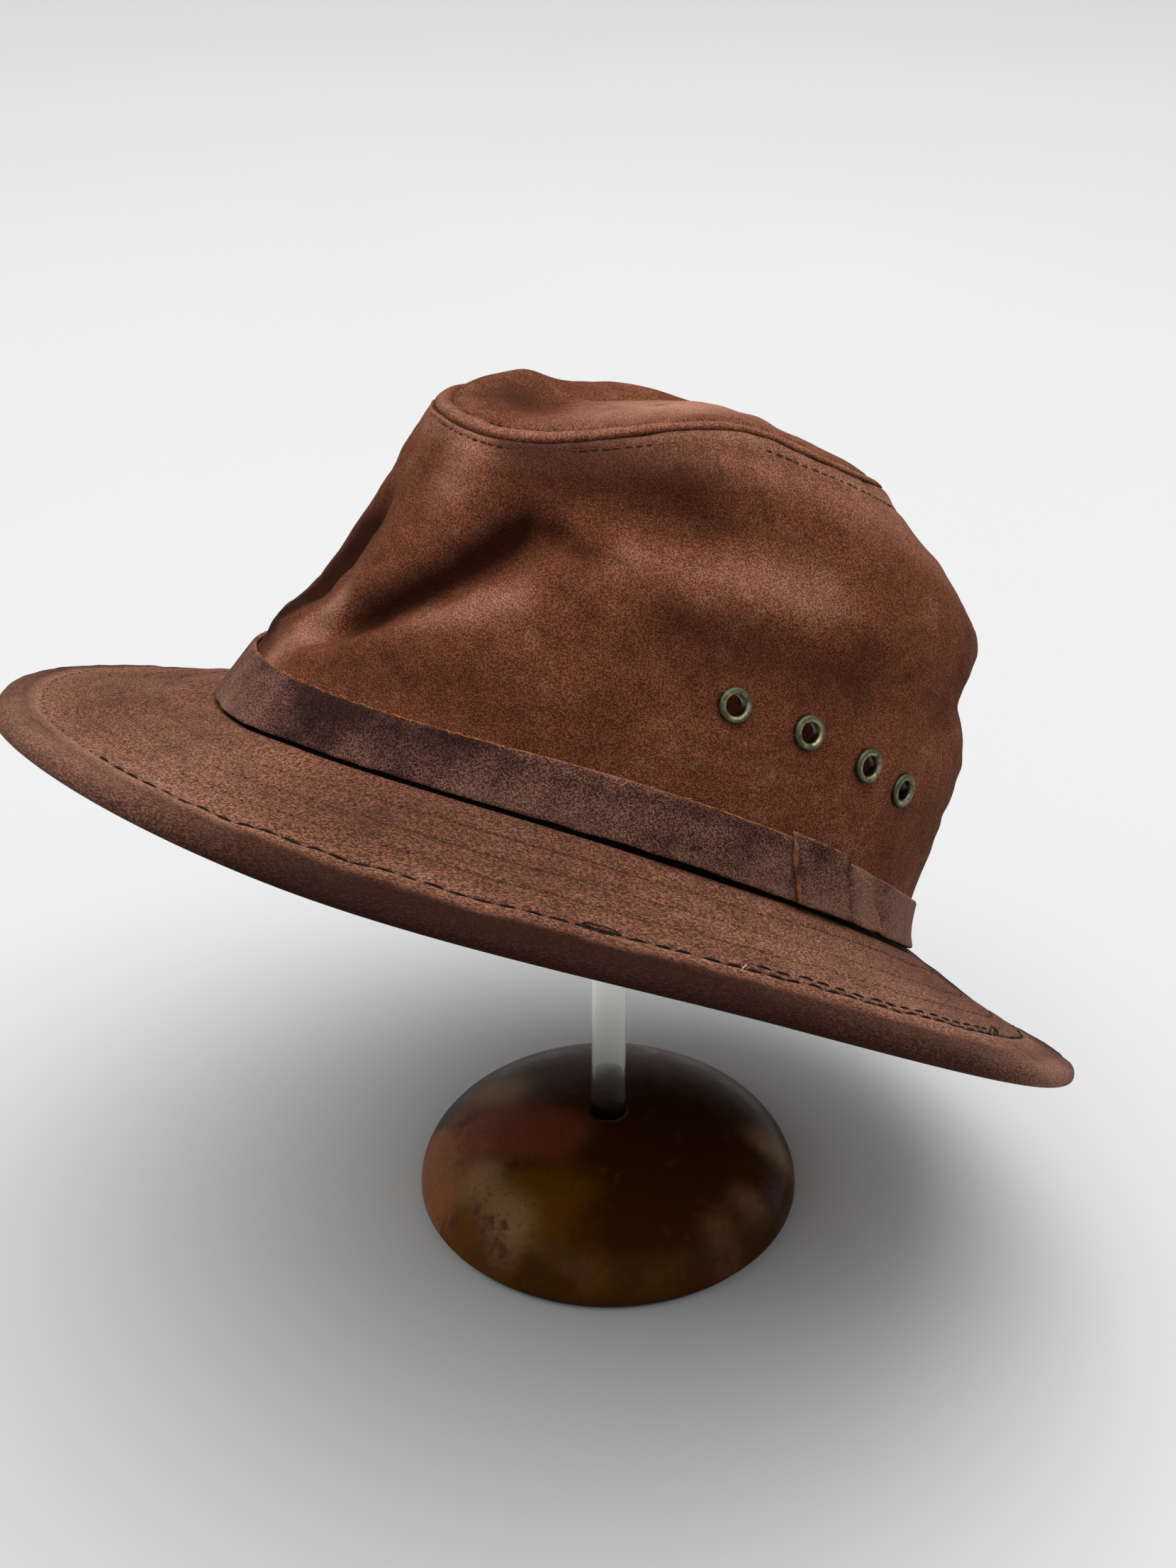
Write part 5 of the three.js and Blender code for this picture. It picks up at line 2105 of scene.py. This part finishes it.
@dataclass
class LooseEnds:
    """Frayed fibres on the band's upper edge, and a tangle, a knot and a straw on the brim's outer row."""

    band: Band
    brim: Brim
    pose: HatPose
    fibre: DullFinish
    thread: DullFinish
    straw: DullFinish
    frays: tuple[Fray, ...] = (
        Fray(13, 1.2, 0.3, 0.1), Fray(21, 1.5, 0.4, 0.1), Fray(26.5, 1.4, -0.5, 0.2), Fray(37, 5.0, 0.4, 0.2),
        Fray(40.5, 0.8, 1.4, 0.5), Fray(46.5, 1.5, 1.2, 0.2), Fray(48, 2.6, 0.3, 0.3),
        Fray(50.5, 3.0, 0.5, 0.2), Fray(52.5, 2.6, 0.4, 0.3), Fray(55, 1.2, 0.9, 0.3),
        Fray(57.5, 1.8, 0.3, 0.2), Fray(61.5, 2.2, 1.4, 0.5), Fray(65.5, 1.4, 0.2, 0.2),
        Fray(72.3, -1.6, 2.4, 0.2), Fray(73.5, -2.4, 3.3, 0.3), Fray(75.4, -1.2, 1.2, 0.1),
        Fray(76.5, 0.6, 0.6, 0.2), Fray(79, 1.3, 0.2, 0.1), Fray(81.5, 1.4, -0.4, 0.2),
        Fray(84.5, 1.3, 0.3, 0.2), Fray(87, 2.2, 0.2, 0.1), Fray(89, 2.4, 0.2, 0.2), Fray(94, 1.6, 0.2, 0.1),
    )
    tangle: tuple[ThreadPlace, ...] = (
        ThreadPlace(0, 71.2, 0.732, -0.4), ThreadPlace(1, 72.3, 0.714, 0.4), ThreadPlace(2, 74.1, 0.708, 0.5),
        ThreadPlace(3, 75.6, 0.722, 0.3), ThreadPlace(4, 74.0, 0.725, 0.5), ThreadPlace(5, 71.9, 0.727, 0.4),
        ThreadPlace(6, 71.5, 0.740, 0.3), ThreadPlace(7, 73.8, 0.748, -0.3),
    )
    knot: tuple[ThreadPlace, ...] = (
        ThreadPlace(0, 127.8, 0.73, -0.3), ThreadPlace(1, 128.2, 0.715, 0.8), ThreadPlace(2, 129.4, 0.7, 1.0),
        ThreadPlace(3, 129.6, 0.725, 0.4), ThreadPlace(4, 128.9, 0.735, 0.2),
        ThreadPlace(5, 129.9, 0.715, 0.9), ThreadPlace(6, 131.2, 0.69, 1.0), ThreadPlace(7, 131.0, 0.72, 0.2),
        ThreadPlace(8, 131.8, 0.7, 0.7), ThreadPlace(9, 134.2, 0.68, 0.9),
    )
    straw_lies: tuple[ThreadPlace, ...] = (
        ThreadPlace(0, 87.7, 0.737, 0.1), ThreadPlace(1, 88.2, 0.716, 0.5),
    )
    band_height: float = 16.0
    edge_height: float = 0.995
    sunk: float = 0.1
    fray_steps: int = 6
    fray_sides: int = 4
    fray_sway: float = 0.12
    fray_taper: float = 0.5
    fray_radius: float = 0.16
    fuzz_radius: float = 0.08
    fuzz_count: int = 170
    fuzz_span: Pair = (2.0, 97.0)
    fuzz_along: Pair = (0.0, 0.7)
    fuzz_down: Pair = (0.15, 0.35)
    fuzz_bow: Pair = (0.05, 0.3)
    thread_radius: float = 0.17
    thread_steps: int = 80
    thread_sides: int = 6
    straw_radius: float = 0.14
    straw_steps: int = 4
    seed: int = 71

    def fibres(self) -> Shape:
        """The band's frayed fibres: the listed ones, and many short ones strewn along the edge.

        Each runs from the edge's outer corner along the edge and down the band's face, and bows outwards.

        Returns:
            The shape in the hat's frame.
        """
        rng = np.random.default_rng(self.seed)
        count = self.fuzz_count
        fuzz = np.stack([
            rng.uniform(*self.fuzz_span, count),
            rng.normal(*self.fuzz_along, count),
            rng.normal(*self.fuzz_down, count),
            rng.uniform(*self.fuzz_bow, count),
        ])
        angle, along, down, bow = np.concatenate([np.array(self.frays).T, fuzz], axis=1)[:, :, None]
        step = np.linspace(0.0, 1.0, self.fray_steps)[None]
        sway = rng.normal(0.0, self.fray_sway, (len(angle), 1)) * np.sin(2 * math.pi * step)
        degrees = angle + (along * step + sway) / self.band.degree_length
        height = self.edge_height - (down * step + sway) / self.band_height
        face = self.band.outside(degrees, height, np.zeros_like(degrees))
        up = self.band.outside(degrees, height, np.ones_like(degrees)) - face
        path = self.band.outside(degrees, height, bow * np.sin(math.pi * step) - self.sunk)
        is_fray = np.arange(len(angle)) < len(self.frays)
        width = np.where(is_fray, self.fray_radius, self.fuzz_radius)[:, None]
        return strands(path, up, width * (1.0 - self.fray_taper * step), self.fray_sides)

    def laid(self, places: tuple[ThreadPlace, ...], radius: float, steps: int) -> Shape:
        """One loose thread on the brim: smooth pieces through its places, held above the upper face.

        Args:
            places: Places along the thread.
            radius: Its radius.
            steps: Number of its points.

        Returns:
            The shape in the hat's frame.
        """
        run = np.linspace(0.0, len(places) - 1.0, steps)
        angle, share, lift = (along_table(places, "run", name, run) for name in ("angle", "share", "lift"))
        path = self.brim.top(np.radians(angle), share)
        path[:, 2] += lift
        ups = np.broadcast_to(UP, path.shape)
        return strands(path[None], ups[None], np.full((1, steps), radius), self.thread_sides)

    def build(self) -> None:
        """Builds and dresses the fibres, the threads and the straw."""
        both = (self.tangle, self.knot)
        threads = [self.laid(places, self.thread_radius, self.thread_steps) for places in both]
        straw = self.laid(self.straw_lies, self.straw_radius, self.straw_steps)
        for name, shape, finish, slot in (
            ("band_fibres", self.fibres(), self.fibre, Slot.BAND),
            ("brim_threads", joined(threads), self.thread, Slot.BRIM),
            ("brim_straw", straw, self.straw, Slot.BRIM),
        ):
            make_piece(name, self.pose.seated(shape), finish.material())


class Cloud(NamedTuple):
    """A cloud of one glaze colour, or of painted reflection, on the dome: its place, spread and strength."""

    glaze: Glaze
    x: float
    y: float
    spread: float
    strength: float


@dataclass
class Stand:
    """The stand: a low glazed dome, a clear post and the pale cap that the crown rests on."""

    glaze: GlazeFinish
    acrylic: AcrylicFinish
    plastic: DullFinish
    base_radius: float = 56.0
    base_height: float = 28.0
    base_lip: float = 3.0
    foot_radius: float = 54.0
    foot_chamfer: Pair = (0.8, 0.4)
    foot_ring: float = 20.0
    post_radius: float = 5.0
    post_chamfer: float = 0.4
    socket_depth: float = 14.0
    socket_edge: float = 2.0
    cap_radius: float = 13.0
    cap_socket: float = 9.0
    shade_span: Pair = (0.8, 6.0)
    # Glaze colours, and pale clouds that are painted reflections of the bright room.
    clouds: tuple[Cloud, ...] = (
        Cloud(Glaze.RED, 6, -18, 12, 1.0), Cloud(Glaze.RED, -6, -34, 12, 0.9),
        Cloud(Glaze.OCHRE, 27, -25, 15, 0.9), Cloud(Glaze.OCHRE, 50, -17, 8, 0.35),
        Cloud(Glaze.OCHRE, 20, -46, 13, 0.8), Cloud(Glaze.OCHRE, -24, 24, 16, 0.6),
        Cloud(Glaze.OCHRE, 54, 2, 9, 0.25), Cloud(Glaze.PALE, 10, -41, 8, 0.8),
        Cloud(Glaze.PALE, 20, -39, 7, 0.5), Cloud(Glaze.PALE, 30, -36, 8, 0.85),
        Cloud(Glaze.PALE, -22, -28, 12, 0.75), Cloud(Glaze.PALE, 45, 22, 8, 0.5),
        Cloud(Glaze.PALE, 35, 33, 7, 0.5), Cloud(Glaze.PALE, 13, 46, 8, 0.9),
        Cloud(Glaze.ROSY, -10, -52, 13, 1.0), Cloud(Glaze.ROSY, 8, -54, 11, 0.8),
        Cloud(Glaze.ROSY, -40, 34, 12, 0.8), Cloud(Glaze.VEINS, 18, -47, 9, 0.95),
        Cloud(Glaze.VEINS, 33, -42, 9, 0.95), Cloud(Glaze.VEINS, 50, -22, 7, 0.8),
        Cloud(Glaze.VEINS, 51, 21, 9, 0.9), Cloud(Glaze.VEINS, 20, 43, 9, 0.7),
        Cloud(Glaze.PURPLE, 32, 44.5, 8, 0.9), Cloud(Glaze.PURPLE, -20, 50, 12, 0.6),
    )
    base_sides: int = 160
    post_sides: int = 64
    cap_sides: int = 96

    def base_shape(self) -> Shape:
        """The dome: a flat foot, a small lip, a quarter ellipse up to the socket, and the socket's floor.

        Returns:
            The shape in the row frame, with the strength at its points of each glaze colour, of the painted
            reflections and of the painted shadow at the foot.
        """
        socket, floor = self.post_radius + SEAM_GAP, self.base_height - self.socket_depth
        turn = np.linspace(0.0, math.acos(socket / self.base_radius), 70)
        rise = self.base_height - self.base_lip
        dome = zip(self.base_radius * np.cos(turn), self.base_lip + rise * np.sin(turn))
        cut, edge = self.foot_chamfer
        foot = [(0.0, 0.0), (self.foot_ring, 0.0), (self.foot_radius - cut, 0.0), (self.foot_radius, edge)]
        hole = [(socket, self.base_height - self.socket_edge), (socket, floor), (0.0, floor)]
        shape = lathe(np.array([*foot, *dome, *hole]), self.base_sides)
        x, y, z = shape.points.T
        values = {glaze.value: np.zeros_like(x) for glaze in Glaze}
        for cloud in self.clouds:
            away = np.hypot(x - cloud.x, y - cloud.y)
            values[cloud.glaze.value] += hump(away, cloud.strength, 0.0, cloud.spread)
        # Painted shadow where the dome meets the floor.
        values[Glaze.SHADE.value] = 1.0 - ramp(z, *self.shade_span)
        return shape._replace(values=values)

    def post_shape(self, low: float, high: float) -> Shape:
        """The rod, with a small chamfer at each end.

        Args:
            low: Height of its foot.
            high: Height of its top.

        Returns:
            The shape in the row frame.
        """
        radius, cut = self.post_radius, self.post_chamfer
        foot = [(0.0, low), (radius - cut, low), (radius, low + cut)]
        top = [(radius, high - cut), (radius - cut, high), (0.0, high)]
        return lathe(np.array([*foot, (radius, (low + high) / 2), *top]), self.post_sides)

    def cap_shape(self, centre: float) -> Shape:
        """The ball-shaped cap with its socket for the post.

        Args:
            centre: Height of the ball's centre.

        Returns:
            The shape in the row frame.
        """
        radius, socket = self.cap_radius, self.post_radius + SEAM_GAP
        turn = np.linspace(math.asin(socket / radius) - math.pi / 2, math.pi / 2, 40)[:-1]
        ball = zip(radius * np.cos(turn), centre + radius * np.sin(turn))
        roof = centre - radius + self.cap_socket
        rows = [(0.0, roof), (socket, roof), *ball, (0.0, centre + radius)]
        return lathe(np.array(rows), self.cap_sides)

    def build(self) -> None:
        """Builds and dresses the dome, post and cap, at the heights of their solids."""
        post_low, post_high = (corner.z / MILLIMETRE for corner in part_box("stand_post"))
        cap_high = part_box("stand_cap")[1].z / MILLIMETRE
        for node, shape, finish, slot in (
            ("stand_base", self.base_shape(), self.glaze, Slot.GLAZE),
            ("stand_post", self.post_shape(post_low, post_high), self.acrylic, Slot.ACRYLIC),
            ("stand_cap", self.cap_shape(cap_high - self.cap_radius), self.plastic, Slot.PLASTIC),
        ):
            stand_in(node, shape, finish.material())


# The studio


@dataclass(frozen=True)
class Lamp:
    """One soft rectangular light, in metres and watts."""

    name: str
    place: Place
    aim: Place
    size: Pair
    power: float

    def build(self) -> None:
        """Makes the light and turns it to its aim."""
        data = bpy.data.lights.new(self.name, "AREA")
        data.shape = "RECTANGLE"
        data.size, data.size_y = self.size
        data.energy = self.power
        lamp = bpy.data.objects.new(self.name, data)
        lamp.location = self.place
        lamp.rotation_euler = (Vector(self.aim) - Vector(self.place)).to_track_quat("-Z", "Y").to_euler()
        bpy.context.scene.collection.objects.link(lamp)


@dataclass
class Studio:
    """The pale floor, which sweeps up far off, the soft light and the camera at the photograph's angle.

    The floor's sizes are in millimetres, and the places are in metres.
    """

    paper: PaperFinish
    floor_radius: float = 3200.0
    floor_level: float = -0.01
    floor_ring: float = 600.0
    floor_sides: int = 96
    sweep_radius: float = 1200.0
    sweep_steps: int = 16
    wall_height: float = 1400.0
    image_height: int = 2212
    focal_pixels: float = 3200.0
    sensor: float = 36.0
    camera_place: Place = (0.5098, -0.1333, 0.4523)
    camera_aim: Place = (-0.8343, 0.2080, -0.5105)
    lamp: Lamp = Lamp("overhead", (-0.15, 0.05, 2.2), (0.0, 0.0, 0.1), (2.9, 2.9), 78.0)
    sky: float = 0.8

    def floor(self) -> None:
        """A round floor whose edge sweeps up into a wall, drawn from the wall's top inwards to the middle."""
        turn = np.linspace(math.pi / 2, 0.0, self.sweep_steps)[:-1]
        out, up = self.sweep_radius * np.sin(turn), self.sweep_radius * (1 - np.cos(turn))
        sweep = zip(self.floor_radius + out, up)
        flat = [(radius, self.floor_level) for radius in (self.floor_radius, self.floor_ring, 0.0)]
        rows = [(self.floor_radius + self.sweep_radius, self.wall_height), *sweep, *flat]
        shape = lathe(np.array(rows), self.floor_sides)
        make_object("floor", shape, self.paper.material())

    def camera(self) -> None:
        """The camera, from the photograph's fitted place, aim and focal length."""
        data = bpy.data.cameras.new("camera")
        data.sensor_width = self.sensor
        data.lens = self.sensor * self.focal_pixels / self.image_height
        camera = bpy.data.objects.new("camera", data)
        camera.location = self.camera_place
        camera.rotation_euler = Vector(self.camera_aim).to_track_quat("-Z", "Y").to_euler()
        bpy.context.scene.collection.objects.link(camera)
        bpy.context.scene.camera = camera

    def build(self) -> None:
        """Builds the floor, the light, the even sky and the camera."""
        self.floor()
        self.lamp.build()
        world = bpy.data.worlds.new("sky")
        world.use_nodes = True
        background = world.node_tree.nodes["Background"]
        background.inputs["Color"].default_value = (1.0, 1.0, 1.0, 1.0)
        background.inputs["Strength"].default_value = self.sky
        bpy.context.scene.world = world
        bpy.context.scene.view_settings.view_transform = "Standard"
        self.camera()


CROWN_LEATHER = LeatherFinish(
    "crown_leather",
    light=(0.34, 0.164, 0.108),
    middle=(0.125, 0.04, 0.019),
    dark=(0.017, 0.0036, 0.0012),
    grain=0.3,
    pores=0.6,
    nap=0.7,
    relief=1.0,
)
BRIM_LEATHER = LeatherFinish(
    "brim_leather",
    light=(0.28, 0.14, 0.096),
    middle=(0.122, 0.05, 0.03),
    dark=(0.018, 0.006, 0.004),
    grain=0.32,
    pores=0.7,
    mottle=14.0,
    relief=1.0,
    lay=Lay.SHEET,
)
BAND_LEATHER = LeatherFinish(
    "band_leather",
    light=(0.19, 0.098, 0.068),
    middle=(0.078, 0.035, 0.027),
    dark=(0.012, 0.0046, 0.0038),
    grain=0.32,
    pores=0.8,
    mottle=16.0,
    nap=1.0,
)
BLACK_THREAD = DullFinish("black_thread", (0.003, 0.0015, 0.0013), (0.012, 0.006, 0.005))
BROWN_THREAD = DullFinish("brown_thread", (0.02, 0.006, 0.003), (0.06, 0.02, 0.011))
LOOSE_THREAD = DullFinish("loose_thread", (0.005, 0.0025, 0.002), (0.02, 0.01, 0.008))
LOOSE_FIBRE = DullFinish("loose_fibre", (0.26, 0.085, 0.032), (0.42, 0.15, 0.055))
STRAW = DullFinish("straw", (0.5, 0.34, 0.18), (0.62, 0.46, 0.26))
PLASTIC = DullFinish(
    "pale_plastic",
    ground=(0.6, 0.6, 0.56),
    streak=(0.36, 0.34, 0.3),
    streaks=Noise(6.0, 4.0, 0.6),
    streak_span=(0.45, 0.75),
    roughness=(0.4, 0.6),
    stipple=Noise(0.6, 1.0, 0.5),
    relief=0.05,
    shine=0.5,
)


def write_sizes() -> None:
    """Brings the scene's view layer up to date."""
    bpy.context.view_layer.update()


def main() -> None:
    """Builds the studio, the hat and its stand."""
    logging.basicConfig(level=logging.INFO, format="%(name)s %(message)s")
    pose = HatPose()
    form = CrownForm()
    Studio(PaperFinish("pale_paper")).build()
    crown = Crown(form, pose, CROWN_LEATHER)
    crown.build()
    brim = Brim(form, pose, BRIM_LEATHER)
    brim.build()
    band = Band(form, pose, BAND_LEATHER)
    band.build()
    Eyelets(form, pose, BrassFinish("aged_brass")).build()
    Stitching(crown, brim, pose, BLACK_THREAD, BROWN_THREAD).build()
    LooseEnds(band, brim, pose, LOOSE_FIBRE, LOOSE_THREAD, STRAW).build()
    Stand(GlazeFinish("mottled_glaze"), AcrylicFinish("clear_acrylic"), PLASTIC).build()
    write_sizes()


if __name__ == "__main__":
    main()
